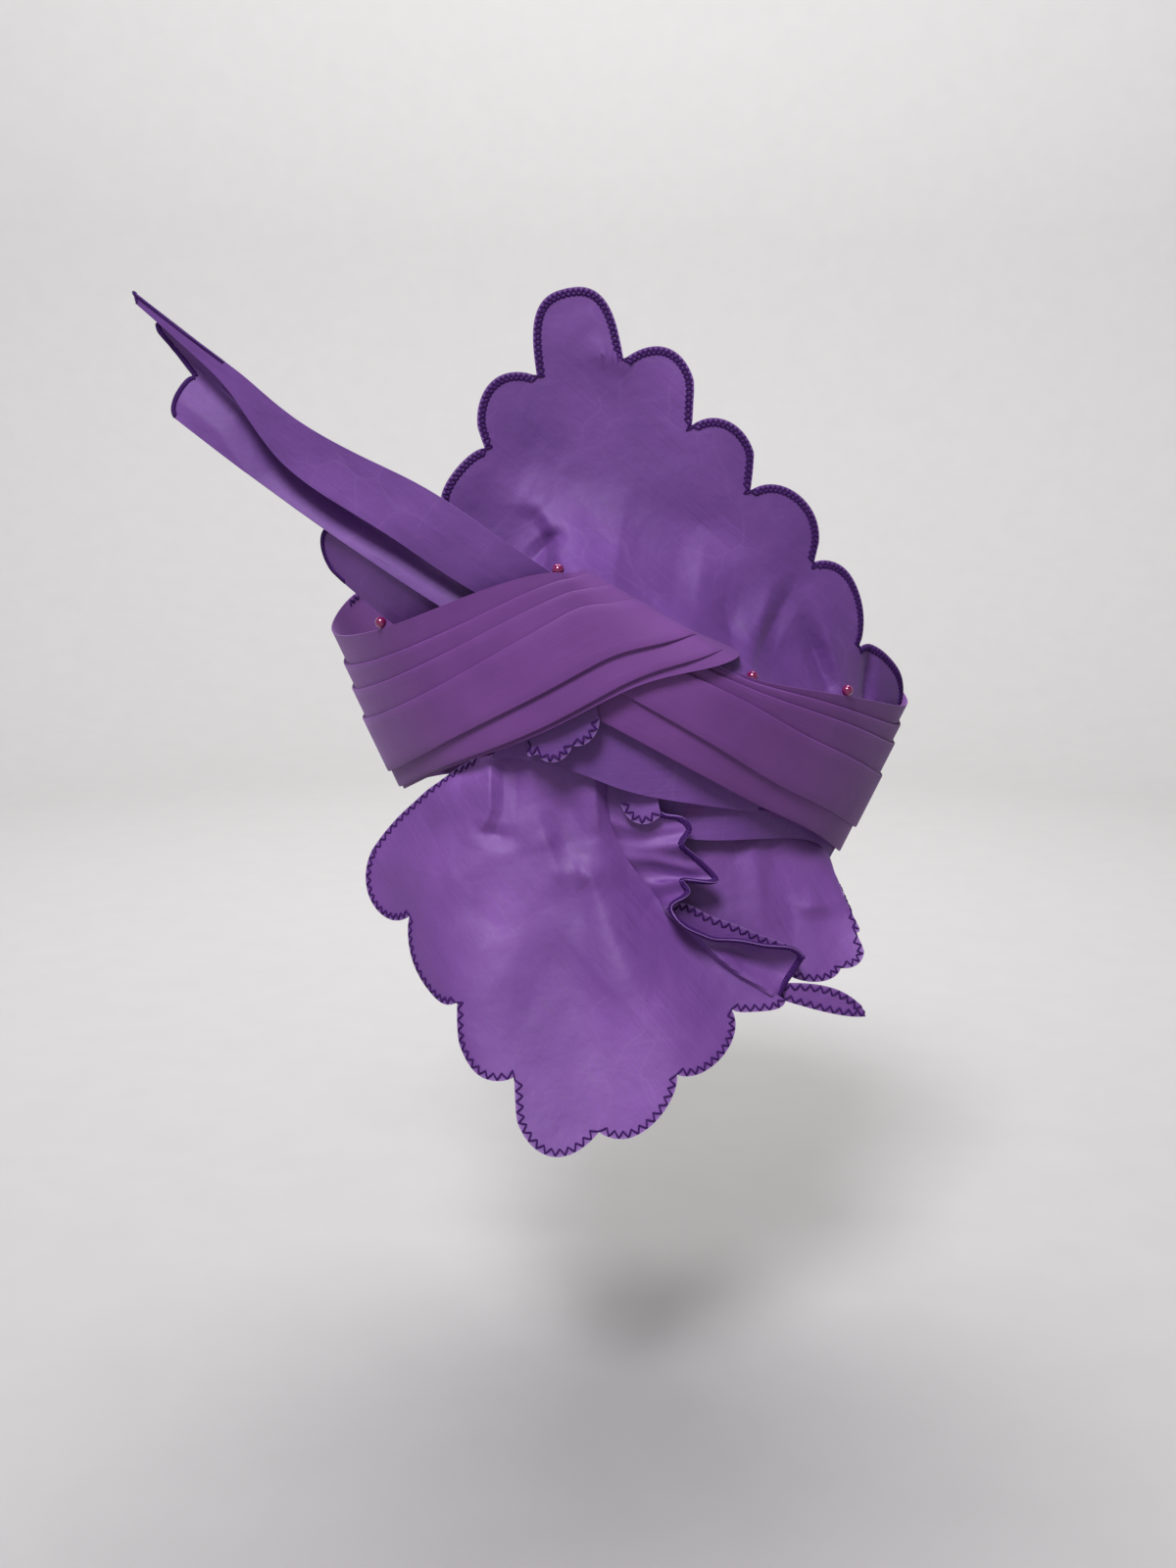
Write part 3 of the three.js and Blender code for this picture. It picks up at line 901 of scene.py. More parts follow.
    def fold_lift(self, places: np.ndarray) -> np.ndarray:
        """Adds up how far the folds lift a sheet towards -Y.

        Beyond an end of a crease the fold fades from its left room to its right room without a step.

        Args:
            places: places of the sheet.

        Returns:
            The lift at each place.
        """
        flat = places[..., (0, 2)]
        lift = np.zeros(places.shape[:-1])
        for fold in self.folds:
            spots = np.array(fold.line, float)
            runs = np.diff(spots, axis=0)
            before = np.insert(np.cumsum(np.linalg.norm(runs, axis=1)), 0, 0.0)
            nearest = np.full(lift.shape, np.inf)
            part, side = np.zeros(lift.shape), np.zeros(lift.shape)
            for k, run in enumerate(runs):
                along = np.clip((flat - spots[k]) @ run / (run @ run), 0, 1)
                away = flat - (spots[k] + along[..., None] * run)
                room = np.linalg.norm(away, axis=-1)
                cross = run[0] * away[..., 1] - run[1] * away[..., 0]
                turn = cross / np.maximum(np.linalg.norm(run) * room, 1e-9)
                level = (np.abs(room - nearest) < 1e-6) & (np.abs(turn) > np.abs(side))
                closer = (room < nearest - 1e-6) | level
                nearest = np.where(closer, room, nearest)
                run_part = (before[k] + along * (before[k + 1] - before[k])) / before[-1]
                part = np.where(closer, run_part, part)
                side = np.where(closer, turn, side)
            room = np.clip(nearest / (fold.left * (1 + side) / 2 + fold.right * (1 - side) / 2), 0, 1)
            along = np.interp(part, (0.0, 0.5, 1.0), (fold.ends[0], 1.0, fold.ends[1]))
            room = np.clip(np.sqrt(room ** 2 + CREASE_ROUND) - CREASE_DROP, 0, 1)
            lift += fold.height * along * (1 - room) ** FOLD_STEEP
        return lift

    def surface(self) -> np.ndarray:
        """Works out the middle of the cloth.

        Returns:
            A grid of places, lines by across by 3.
        """
        spots, parts = self.scalloped()
        root, middle, rim = self.lines(spots)
        reach = np.linalg.norm(middle - root, axis=1) + np.linalg.norm(rim - middle, axis=1)
        steps = int(max(8, round(reach.max() / GRID_STEP)))
        v = np.linspace(0, 1, steps + 1)[None, :]
        across = v + (parts - 1)[:, None] * v ** 3
        along, wide, small = np.repeat(spots, steps + 1), across.ravel(), 1e-3
        grid = self.at(along, wide).reshape(*across.shape, 3)
        turned = np.cross(
            self.at(along + small, wide) - self.at(along - small, wide),
            self.at(along, wide + small) - self.at(along, wide - small),
        )
        normals = unit(turned).reshape(grid.shape)
        grid[..., 1] -= self.fold_lift(grid)
        root_part, rim_part = self.crumples
        strength = root_part * np.maximum(1 - across, 0) ** 1.6 + rim_part
        height = strength * (crumple(grid, self.crumple_cell, self.seed) - CRUMPLE_MEAN) * 3
        height += 0.5 * strength * swell(grid, SWELL_SIZE, self.seed + 5.0)
        height += self.flutter * swell(grid, FLUTTER_SIZE, self.seed + 9.0) * 2 * across ** 3
        return grid + normals * height[..., None]

    def edge_room(self, grid: np.ndarray) -> np.ndarray:
        """Measures the room to the nearest stitched edge.

        Args:
            grid: the sheet's places.

        Returns:
            The room from each place, in millimetres.
        """
        room = np.full(grid.shape[:2], FAR_FROM_EDGE)
        normals = grid_normals(grid)
        for side in self.sewn:
            edge = edge_of(grid, normals, side)[0]
            if side is Side.RIM:
                edge = edge[int(self.sewn_from * (len(edge) - 1)):]
            for index in np.ndindex(*grid.shape[:2]):
                room[index] = min(room[index], np.sqrt(((edge - grid[index]) ** 2).sum(1).min()))
        return room

    def grain(self, grid: np.ndarray) -> np.ndarray:
        """Lays the sheet flat along the run of its slubs.

        Args:
            grid: the sheet's places.

        Returns:
            Place of each grid place in the flat cloth.
        """
        turn = math.radians(self.grain_turn)
        span = np.ptp(grid.reshape(-1, 3), axis=0)
        first = grid[..., 0] if span[0] > span[1] else grid[..., 1]
        second = grid[..., 2]
        along = first * math.cos(turn) + second * math.sin(turn)
        return np.stack([along, second * math.cos(turn) - first * math.sin(turn)], -1)

    def build(self, cloth: bpy.types.Material, thread: bpy.types.Material) -> list[bpy.types.Object]:
        """Makes the cloth and its seam, and ties them to the frame.

        Args:
            cloth: the cloth's finish.
            thread: the thread's finish.

        Returns:
            The sheet, and its seam if it has one.
        """
        grid = self.surface()
        made = cloth_object(self.name, grid, cloth, self.edge_room(grid), self.grain(grid))
        seams = []
        if self.seam:
            seams.append(self.seam.build(self.name + "_seam", grid, self.sewn, thread, self.sewn_from))
        dress(made, self.nodes, seams)
        return [made, *seams]


def dress(made: bpy.types.Object, nodes: tuple[str, ...],
          seams: list[bpy.types.Object]) -> None:
    """Ties a sheet and its seams to the frame and hides the nodes that it stands for.

    Args:
        made: the sheet.
        nodes: the nodes that it stands for.
        seams: the stitching on it.
    """
    for piece in (made, *seams):
        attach(piece, BODY)
    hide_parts(*nodes)


@dataclass
class PleatedWrap:
    """The pleated strip from under the cross, round the far side, to over the cross.

    Attributes:
        rows: its sections, from the end under the cross to the end over it.
        levels: how high each pleat lies, from the lower edge.
        step: how much one pleat lies over the next.
        seat: how far the lowest pleat lies from the middle of the solid.
        tuck: how far a pleat runs under the one beside it.
        nodes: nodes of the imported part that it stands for.
        sewn_rows: first and last section of its far, stitched edge.
        face_parts: places across the face of one pleat.
        turn_parts: places round one turn from pleat to pleat.
    """

    rows: tuple[BandRow, ...]
    nodes: tuple[str, ...] = ("right_band", "brow_band", "left_band")
    levels: tuple[int, ...] = (1, 2, 3, 2, 1, 0)
    step: float = 1.6
    seat: float = -0.9
    tuck: float = 7.0
    sewn_rows: tuple[int, int] = (6, 14)
    face_parts: int = 7
    turn_parts: int = 4

    def shares(self) -> np.ndarray:
        """Spaces the sections of the strip.

        Returns:
            Shares of its length.
        """
        found = []
        gaps = len(self.rows) - 1
        for number, (row, after) in enumerate(zip(self.rows, self.rows[1:])):
            long = np.linalg.norm(np.subtract(after.high, row.high))
            low = np.linalg.norm(np.subtract(after.low, row.low))
            steps = max(6, round(max(long, low) / BAND_STEP))
            found.append((number + np.arange(steps) / steps) / gaps)
        return np.append(np.concatenate(found), 1.0)

    def column(self, shares: np.ndarray, name: str) -> np.ndarray:
        """Reads a named number of the rows at shares of the length."""
        numbers = [getattr(row, name) for row in self.rows]
        return np.interp(shares * (len(self.rows) - 1), range(len(self.rows)), numbers)

    def section(self, width: float, edges: np.ndarray, crisp: float, top: float) -> np.ndarray:
        """Folds the strip across its width.

        Args:
            width: the strip's width there.
            edges: the pleat edges, from the lower edge.
            crisp: how far the upper pleats stand out.
            top: how far the upper edge stands above the width.

        Returns:
            Room from the lower edge and height over the seat for each place of the section.
        """
        peak = self.levels.index(max(self.levels))
        top_level = self.levels[peak]
        below = min(1.0, 2 * crisp)
        heights = [
            self.step * (top_level - (top_level - level) * (crisp if p > peak else below))
            for p, level in enumerate(self.levels)
        ]
        bounds = [0.0, *edges, width + top]
        line = []
        start = 0.0
        for p, height in enumerate(heights):
            last = p == len(heights) - 1
            rising = not last and p < peak
            tuck = self.tuck * (below if p < peak else crisp)
            if rising:
                tuck = min(tuck, (bounds[p + 2] - bounds[p + 1]) * 0.8)
            elif not last:
                tuck = min(tuck, (bounds[p + 1] - bounds[p]) * 0.8)
            end = bounds[p + 1] + (tuck if rising else 0.0)
            for part in np.linspace(0, 1, self.face_parts):
                line.append((start + (end - start) * part, height))
            if last:
                break
            between = (height + heights[p + 1]) / 2
            first = abs(between - height) / 2
            back = bounds[p + 1] if rising else bounds[p + 1] - tuck
            turns = np.linspace(0, math.pi, self.turn_parts + 2)[1:-1]
            sign = 1.0 if heights[p + 1] > height else -1.0
            for turn in turns:
                line.append((end + first * math.sin(turn), height + sign * first * (1 - math.cos(turn))))
            line.append((end, between))
            line.append((back, between))
            for turn in turns:
                line.append((back - first * math.sin(turn), between + sign * first * (1 - math.cos(turn))))
            start = back
        return np.array(line)

    def surface(self) -> np.ndarray:
        """Works out the middle of the cloth.

        Returns:
            A grid of places, lines by across by 3.
        """
        shares = self.shares()
        low = line_through([r.low for r in self.rows], shares)
        high = line_through([r.high for r in self.rows], shares)
        across = high - low
        widths = np.linalg.norm(across, axis=1)
        across = unit(across)
        edges = []
        for p in range(len(self.levels) - 1):
            spots = [np.array(r.low) + (np.array(r.high) - np.array(r.low)) * r.pleats[p] for r in self.rows]
            edges.append(((line_through(spots, shares) - low) * across).sum(1))
        edges = np.stack(edges, 1)
        crisp = self.column(shares, "crisp")
        spot = shares * (len(self.rows) - 1)
        lobes = np.array([self.rows[min(int(s), len(self.rows) - 2)].lobe for s in spot])
        top = lobes * np.abs(np.sin(np.pi * spot))
        along_low, along_high = np.gradient(low, axis=0), np.gradient(high, axis=0)
        grid = []
        for k in range(len(shares)):
            section = self.section(widths[k], edges[k], crisp[k], top[k])
            part = (section[:, 0] / widths[k])[:, None]
            along = along_low[k] * (1 - part) + along_high[k] * part
            normal = unit(np.cross(along, across[k]))
            grid.append(low[k] + across[k] * section[:, :1] + normal * (section[:, 1:] + self.seat))
        return np.array(grid)

    def build(self, cloth: bpy.types.Material, thread: bpy.types.Material) -> list[bpy.types.Object]:
        """Makes the strip and its far seam, and ties them to the frame.

        Args:
            cloth: the cloth's finish.
            thread: the thread's finish.

        Returns:
            The strip and its seam.
        """
        grid = self.surface()
        run = lengths_along(grid, 0).mean(1)
        width = lengths_along(grid, 1).mean(0)
        grain = np.stack(np.meshgrid(run, width, indexing="ij"), -1)
        spot = self.shares() * (len(self.rows) - 1)
        far = np.where((spot >= self.sewn_rows[0]) & (spot <= self.sewn_rows[1]))[0]
        seamed = grid[far[0]:far[-1] + 1]
        edge = np.full(grid.shape[:2], FAR_FROM_EDGE)
        edge[far[0]:far[-1] + 1] = lengths_along(seamed[:, ::-1], 1)[:, ::-1]
        made = cloth_object("pleated_wrap", grid, cloth, edge, grain)
        top_pleat = seamed[:, -self.face_parts - 1:]
        seam = ZigzagSeam().build("pleated_wrap_seam", top_pleat, (Side.RIM,), thread)
        dress(made, self.nodes, [seam])
        return [made, seam]


@dataclass
class CrownWrap:
    """Cloth over the crown: a low dome, wider on the far side and tilted with the wrap.

    Attributes:
        half_x: half its width.
        near_y: its reach towards the cross.
        far_y: its reach away from the cross.
        rim: height of its rim.
        top: height of its top.
        slope: fall for each millimetre towards +X.
        corners: how far the near half fills the corners of the wrap.
        gathers: soft gathers round the rim.
        gather_depth: depth of a gather, as a share of the reach.
        crumples: height of its crumples.
        crumple_cell: size of one facet of the crumples.
        seed: a shift, so that it doesn't crumple like another sheet.
        steps: steps of its grid each way.
    """

    half_x: float = 98.0
    near_y: float = 73.0
    far_y: float = 96.7
    rim: float = 20.0
    top: float = 98.0
    slope: float = 0.13
    corners: float = 0.05
    gathers: int = 17
    gather_depth: float = 0.012
    crumples: float = 0.8
    crumple_cell: float = 30.0
    seed: float = 4.0
    steps: int = 100

    def surface(self) -> np.ndarray:
        """Works out the dome as a square grid drawn onto a round one.

        Returns:
            A grid of places, steps by steps by 3.
        """
        side = np.linspace(-1, 1, self.steps + 1)
        u, v = np.meshgrid(side, side, indexing="ij")
        x, y = u * np.sqrt(1 - v ** 2 / 2), v * np.sqrt(1 - u ** 2 / 2)
        room = np.clip(np.hypot(x, y), 0, 1)
        turn = room * math.pi / 2
        around = np.arctan2(y, x)
        gather = np.sin(self.gathers * around + 2.2 * np.sin(3 * around)) * self.gather_depth * room ** 3
        reach = np.where(room > 0, (np.sin(turn) - gather) / np.maximum(room, 1e-9), 1.0)
        reach = reach * (1 + np.where(y < 0, self.corners * np.abs(np.sin(2 * around)) * room ** 2, 0.0))
        out_x = self.half_x * x * reach
        out_y = np.where(y > 0, self.far_y, self.near_y) * y * reach
        height = self.rim + (self.top - self.rim) * np.cos(turn) - self.slope * out_x
        return np.stack([out_x, out_y, height], -1)

    def build(self, cloth: bpy.types.Material) -> list[bpy.types.Object]:
        """Makes the dome and ties it to the frame.

        Args:
            cloth: the cloth's finish.

        Returns:
            The dome.
        """
        grid = self.surface()
        height = self.crumples * (crumple(grid, self.crumple_cell, self.seed) - CRUMPLE_MEAN)
        grid = grid + grid_normals(grid) * height[..., None]
        edge = np.full(grid.shape[:2], FAR_FROM_EDGE)
        made = cloth_object("crown_cloth", grid, cloth, edge, grid[..., :2])
        dress(made, ("crown_wrap",), [])
        return [made]


@dataclass
class PearlPin:
    """Pearl-headed pin, placed where the frame has it.

    Attributes:
        node: the pin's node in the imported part.
        head: radius of the pearl.
        shaft: radius of the wire.
        point: length of the sharpened end.
        sides: how many sides its round has.
    """

    node: str
    head: float = 2.45
    shaft: float = 0.38
    point: float = 2.0
    sides: int = 28

    def place(self) -> tuple[np.ndarray, np.ndarray, float]:
        """Reads where the frame has the pin.

        Returns:
            Middle of the head, direction of the shaft and its length.
        """
        spots = np.array([v.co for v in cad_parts[self.node].data.vertices]) / MM
        middle = spots.mean(0)
        axis = np.linalg.svd(spots - middle)[2][0]
        away = np.linalg.norm(np.cross(spots - middle, axis), axis=1)
        centre = spots[away > self.head / 3].mean(0)
        tip = spots[np.argmax(np.linalg.norm(spots - centre, axis=1))]
        return centre, unit(tip - centre), float(np.linalg.norm(tip - centre))

    def lathe(self, profile: list[Spot], centre: np.ndarray,
              axis: np.ndarray) -> tuple[np.ndarray, list[list[int]]]:
        """Turns a profile round the pin's axis.

        Args:
            profile: radius and place along the axis, closed by a radius of 0 at both ends.
            centre: the middle of the head.
            axis: the direction of the shaft.

        Returns:
            Vertices and faces.
        """
        first = unit(np.cross(axis, [0.0, 0.0, 1.0]))
        second = np.cross(axis, first)
        turns = np.arange(self.sides) * math.tau / self.sides
        ring = np.cos(turns)[:, None] * first + np.sin(turns)[:, None] * second
        places = [centre + axis * profile[0][1]]
        faces = []
        for radius, along in profile[1:-1]:
            places.extend(centre + axis * along + ring * radius)
        places.append(centre + axis * profile[-1][1])
        after = np.roll(np.arange(self.sides), -1)
        for level in range(len(profile) - 3):
            base = 1 + level * self.sides
            faces += [
                [base + k, base + after[k], base + self.sides + after[k], base + self.sides + k]
                for k in range(self.sides)
            ]
        last = len(places) - 1
        faces += [[0, 1 + after[k], 1 + k] for k in range(self.sides)]
        base = last - self.sides
        faces += [[last, base + k, base + after[k]] for k in range(self.sides)]
        return np.array(places), [[int(n) for n in face] for face in faces]

    def build(self, pearl: bpy.types.Material, steel: bpy.types.Material) -> list[bpy.types.Object]:
        """Makes the head with its collar and the wire, and ties them to the frame.

        Args:
            pearl: the head's finish.
            steel: the wire's finish.

        Returns:
            The head and the wire.
        """
        centre, axis, length = self.place()
        ball = [(0.0, -self.head)]
        ball += [
            (self.head * math.cos(a), self.head * math.sin(a)) for a in np.radians(np.arange(-75, 61, 15))
        ]
        collar = self.shaft * 2
        ball += [(collar, self.head * 0.98), (collar * 0.8, self.head * 1.12), (0.0, self.head * 1.12)]
        places, faces = self.lathe(ball, centre, axis)
        head = make_object(self.node + "_pearl", places, faces, pearl, 60.0)
        wire = [(0.0, 0.0), (self.shaft, 0.05), (self.shaft, length - self.point)]
        wire += [(self.shaft * 0.5, length - 0.7), (0.0, length)]
        places, faces = self.lathe(wire, centre, axis)
        shaft = make_object(self.node + "_wire", places, faces, steel, 60.0)
        for piece in (head, shaft):
            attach(piece, BODY)
        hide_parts(self.node)
        return [head, shaft]


@dataclass(frozen=True)
class FarRing:
    """Round of the wrap on the side away from the cross.

    Attributes:
        low: half width and half depth at the lower rim.
        high: half width and half depth at the upper rim.
        height: height of the upper rim.
        slope: fall for each millimetre towards +X.
        scallops: scallops of the far half.
        lobe: height of one scallop.
        rise: how far the middle of the far half stands above its ends.
        join_angle: degrees round the ring where the scallops start.
        turn_angle: degrees round the ring where a band joins it.
        join_rise: how far the upper rim is raised where the scallops start.
        turn_rise: how far it is raised where a band joins it.
    """

    low: Spot = (100.0, 95.0)
    high: Spot = (134.0, 112.0)
    height: float = 71.0
    slope: float = 0.13
    scallops: int = 6
    lobe: float = 12.0
    rise: float = 14.0
    join_angle: float = 27.0
    turn_angle: float = 12.0
    join_rise: float = 20.0
    turn_rise: float = 12.0

    def place(self, angle: float, share: float, rise: float = 0.0) -> Place:
        """Finds a place on the ring.

        Args:
            angle: degrees round it, from +X towards +Y.
            share: 0 at its lower rim and 1 at its upper rim.
            rise: how far the place is raised.

        Returns:
            The place.
        """
        turn = math.radians(angle)
        x = (self.low[0] + (self.high[0] - self.low[0]) * share) * math.cos(turn)
        y = (self.low[1] + (self.high[1] - self.low[1]) * share) * math.sin(turn)
        return (x, y, self.height * share - self.slope * x + rise)

    def row(self, angle: float, rise: float, pleats: tuple[float, ...], lobe: float = 0.0) -> BandRow:
        """A section of the wrap at an angle round the ring."""
        return BandRow(self.place(angle, 0.0), self.place(angle, 1.0, rise), pleats, 1.0, lobe)

    def rows(self, before: tuple[float, ...], middle: tuple[float, ...],
             after: tuple[float, ...]) -> list[BandRow]:
        """Sections from the +X side round to the -X side.

        Args:
            before: pleats at the +X side.
            middle: pleats of the far half.
            after: pleats at the -X side.

        Returns:
            The sections in order.
        """
        found = [self.row(self.turn_angle, self.turn_rise, before)]
        span = 180 - 2 * self.join_angle
        for k in range(self.scallops + 1):
            pleats = before if k == 0 else after if k == self.scallops else middle
            rise = self.join_rise + self.rise * math.sin(math.pi * k / self.scallops)
            lobe = self.lobe if k < self.scallops else 0.0
            found.append(self.row(self.join_angle + span * k / self.scallops, rise, pleats, lobe))
        found.append(self.row(180 - self.turn_angle, self.turn_rise, after))
        return found


RIGHT_BAND = (
    BandRow((-18, -93, 65), (5, -93, 102), (0.0, 0.33, 0.78, 0.9, 0.96)),
    BandRow((6, -91, 52), (31, -93, 87), (0.0, 0.33, 0.78, 0.9, 0.96)),
    BandRow((35, -83, 35), (54, -88, 76), (0.0, 0.3, 0.78, 0.9, 0.96)),
    BandRow((61, -68, 19), (82, -74, 69), (0.0, 0.22, 0.65, 0.84, 0.93)),
    BandRow((86, -45, 3), (112, -47, 61), (0.0, 0.19, 0.57, 0.78, 0.88)),
    BandRow((103, -8, -14), (135, -8, 55), (0.0, 0.18, 0.53, 0.74, 0.86)),
)
LEFT_BAND = (
    BandRow((-100, -8, 15), (-133, -8, 88), (0.03, 0.14, 0.47, 0.65, 0.8)),
    BandRow((-81, -50, 30), (-103, -60, 94), (0.03, 0.16, 0.5, 0.68, 0.82)),
    BandRow((-60, -78, 42), (-66, -87, 109), (0.03, 0.2, 0.55, 0.72, 0.84)),
    BandRow((-30, -99, 57), (-40, -99, 118), (0.04, 0.25, 0.63, 0.78, 0.89)),
    BandRow((1, -100, 73), (-26, -101, 120), (0.06, 0.29, 0.7, 0.83, 0.93), 0.9),
    BandRow((25, -99, 80), (-21, -99, 119), (0.09, 0.29, 0.68, 0.83, 0.95), 0.55),
    BandRow((40, -95, 82), (-17, -94.5, 118), (0.1, 0.28, 0.66, 0.82, 0.96), 0.2),
    BandRow((45, -88, 82), (-15, -87, 114), (0.1, 0.28, 0.66, 0.82, 0.96), 0.0),
    BandRow((46, -79, 83), (-14, -77, 113), (0.1, 0.28, 0.66, 0.82, 0.96), 0.0),
)
FAR_PLEATS = (0.01, 0.16, 0.44, 0.6, 0.74)

CREST_ROWS = (
    Row((-43, -77, 96), (-75, -70, 146), (-53, -66, 112), 5),
    Row((-33, -79, 102), (-57, -67, 169), (-40, -61, 125), 12),
    Row((-19, -94, 116), (-35.5, -63, 198), (-22, -56, 138), 27, 3.4),
    Row((2, -95, 104), (0, -63, 204.5), (1, -55, 130), 14),
    Row((22, -95, 92), (28.5, -62, 178.5), (23, -55, 114), 14),
    Row((43, -92, 79), (53.5, -59, 152), (46, -54, 99), 13),
    Row((67, -72, 67), (82, -51, 122), (72, -50, 83), 12),
    Row((92, -53, 59), (104.5, -40, 84), (97, -42, 68), 11),
    Row((125.5, -16, 46), (130.3, -12, 56), (127.5, -14, 51), 0),
)
CREST_FOLDS = (
    Fold(((-25, 116), (-27, 134), (-34, 145), (-45, 147)), 4.5, 6, 16, (1.0, 0.1)),
    Fold(((-27, 133), (-37, 124)), -4.0, 5, 6, (1.0, 0.5)),
    Fold(((0, 142), (-5, 114)), 2.0, 9, 14, (0.2, 0.6)),
    Fold(((52, 74), (65, 117)), 4.0, 12, 9, (0.8, 0.0)),
    Fold(((52, 74), (76, 117)), -2.5, 7, 7, (0.5, 0.0)),
    Fold(((47, 82), (42, 108)), -2.6, 8, 8, (0.6, 0.0)),
    Fold(((98, 64), (89, 92), (79, 113)), 4.0, 8, 10, (0.8, 0.0)),
    Fold(((90, 68), (77, 100)), -3.0, 6, 6, (0.7, 0.0)),
    Fold(((112, 90), (109, 54)), -5.0, 7, 5, (0.3, 1.0)),
    Fold(((29, 98), (36, 136)), 2.2, 11, 13, (0.5, 0.0)),
    Fold(((14, 148), (50, 128)), -1.6, 14, 14, (0.2, 0.4)),
    Fold(((0, 203), (-17, 211)), 2.0, 6, 5, (1.0, 0.0)),
    Fold(((-52, 132), (-30, 168)), 1.6, 14, 18, (0.4, 0.0)),
)
NAPE_ROWS = (
    Row((-62, -65, 40), (-111, -44, -6), (-90, -52, 18), 17),
    Row((-56, -69, 42), (-93, -68, -30), (-78, -72, 5), 12),
    Row((-47, -75, 44), (-69, -98, -59), (-62, -84, -8), 12),
    Row((-38, -80, 45), (-45, -114, -86), (-44, -91, -22), 15.5),
    Row((-27, -83, 45), (-10, -121, -107), (-20, -93, -34), 7),
    Row((-17, -84, 42), (22, -111, -85), (-7, -96, -28), 11),
    Row((-10, -84, 38), (47, -92, -65), (3, -93, -20), 5),
    Row((-5, -83, 33), (70, -87, -62), (8, -89, -10), 0),
)
NAPE_FOLDS = (
    Fold(((-56, 46), (-56, 20), (-60, 11)), 5.5, 6, 13, (1.0, 0.5)),
    Fold(((-60, 10), (-52, 8.5), (-43, 8)), -2.6, 6, 6, (0.8, 0.0)),
    Fold(((-38.5, 22), (-32.5, 9), (-27, -6)), 3.4, 7, 13, (0.1, 0.5)),
    Fold(((-26.5, -5), (-18, -4), (-13, -7), (-10.5, -12)), 3.2, 6, 12, (0.4, 0.1)),
    Fold(((-45, 40), (-45, 14)), -2.0, 8, 8, (1.0, 0.0)),
    Fold(((-12, 36), (-10, 9)), 4.0, 6, 12, (1.0, 0.2)),
    Fold(((-7.5, 44), (-7.5, 10), (3, -8), (20, -25), (47, -51), (68, -64)), -13.0, 200, 36,
         (0.5, 0.0)),
    Fold(((-14, -8), (2, -44), (22, -83)), 7.0, 32, 28, (0.7, 0.4)),
    Fold(((-95, 2), (-70, 14)), -2.5, 14, 14, (0.3, 0.6)),
    Fold(((-84, -20), (-58, 0)), 2.5, 20, 14, (0.2, 0.6)),
    Fold(((-62, -66), (-38, -26)), 1.8, 24, 18, (0.1, 0.4)),
)
UNDER_UPPER_ROWS = (
    Row((-47, -84, 52), (-56, -76, 41)),
    Row((-31, -89, 57), (-37, -87, 42)),
    Row((-10, -89, 59), (-13, -88.5, 35)),
    Row((18, -85, 47), (10, -86.5, 27)),
    Row((62, -65.5, 20), (57, -67.3, 16)),
)
UNDER_LOWER_ROWS = (
    Row((10, -72, 38), (2, -73, 8)),
    Row((23, -73, 36), (16, -75, 8)),
    Row((44, -68.5, 23), (34, -73, 5)),
    Row((66, -58.5, 14), (60, -62.5, 3)),
    Row((92, -29.5, 2), (87, -36.5, -4)),
    Row((104, -14, -8), (97, -24, -16)),
)
TUCKED_ROWS = (
    Row((-39, -90.5, 60), (-39, -90.5, 51), None, 3),
    Row((-31, -95, 62), (-35, -93, 46), None, 4),
    Row((-20, -96.6, 66), (-21, -96.2, 50), None, 3),
    Row((-12, -96.9, 70), (-10, -96.9, 61), None, 0),
)
TAIL_UPPER_ROWS = (
    Row((-7.2, -93, 84), (4, -93, 103.5)),
    Row((-62, -82.6, 112), (-31, -95, 121)),
    Row((-95, -76, 133), (-72, -83, 148)),
    Row((-123, -71, 150), (-102, -77, 163.5)),
    Row((-144, -67, 167), (-132, -71, 179.5)),
    Row((-159, -64, 188), (-153, -66, 196)),
    Row((-174, -59, 204), (-172, -60, 210)),
    Row((-202, -50, 228), (-203, -50, 233)),
)
TAIL_LOWER_ROWS = (
    Row((-22, -89, 74), (-188, -53.5, 182), (-106, -67.5, 123.5), 5),
    Row((-15, -89, 83), (-180, -53.5, 199), (-107, -68.5, 134), 7),
    Row((-9, -89.5, 92), (-192, -50, 221), (-104, -69.5, 149), 0),
)
TAIL_FOLDS = (
    Fold(((-30, 86), (-90, 128), (-117, 146), (-144, 164), (-158, 185), (-188, 210)), -11.0, 14, 9,
         (0.05, 0.5)),
)
TAIL_SHORT_ROWS = (
    Row((-97, -54, 95), (-119, -51, 113), (-107, -53, 103), 7),
    Row((-70, -72, 103), (-124, -60, 137), (-97, -68, 121), 0),
)
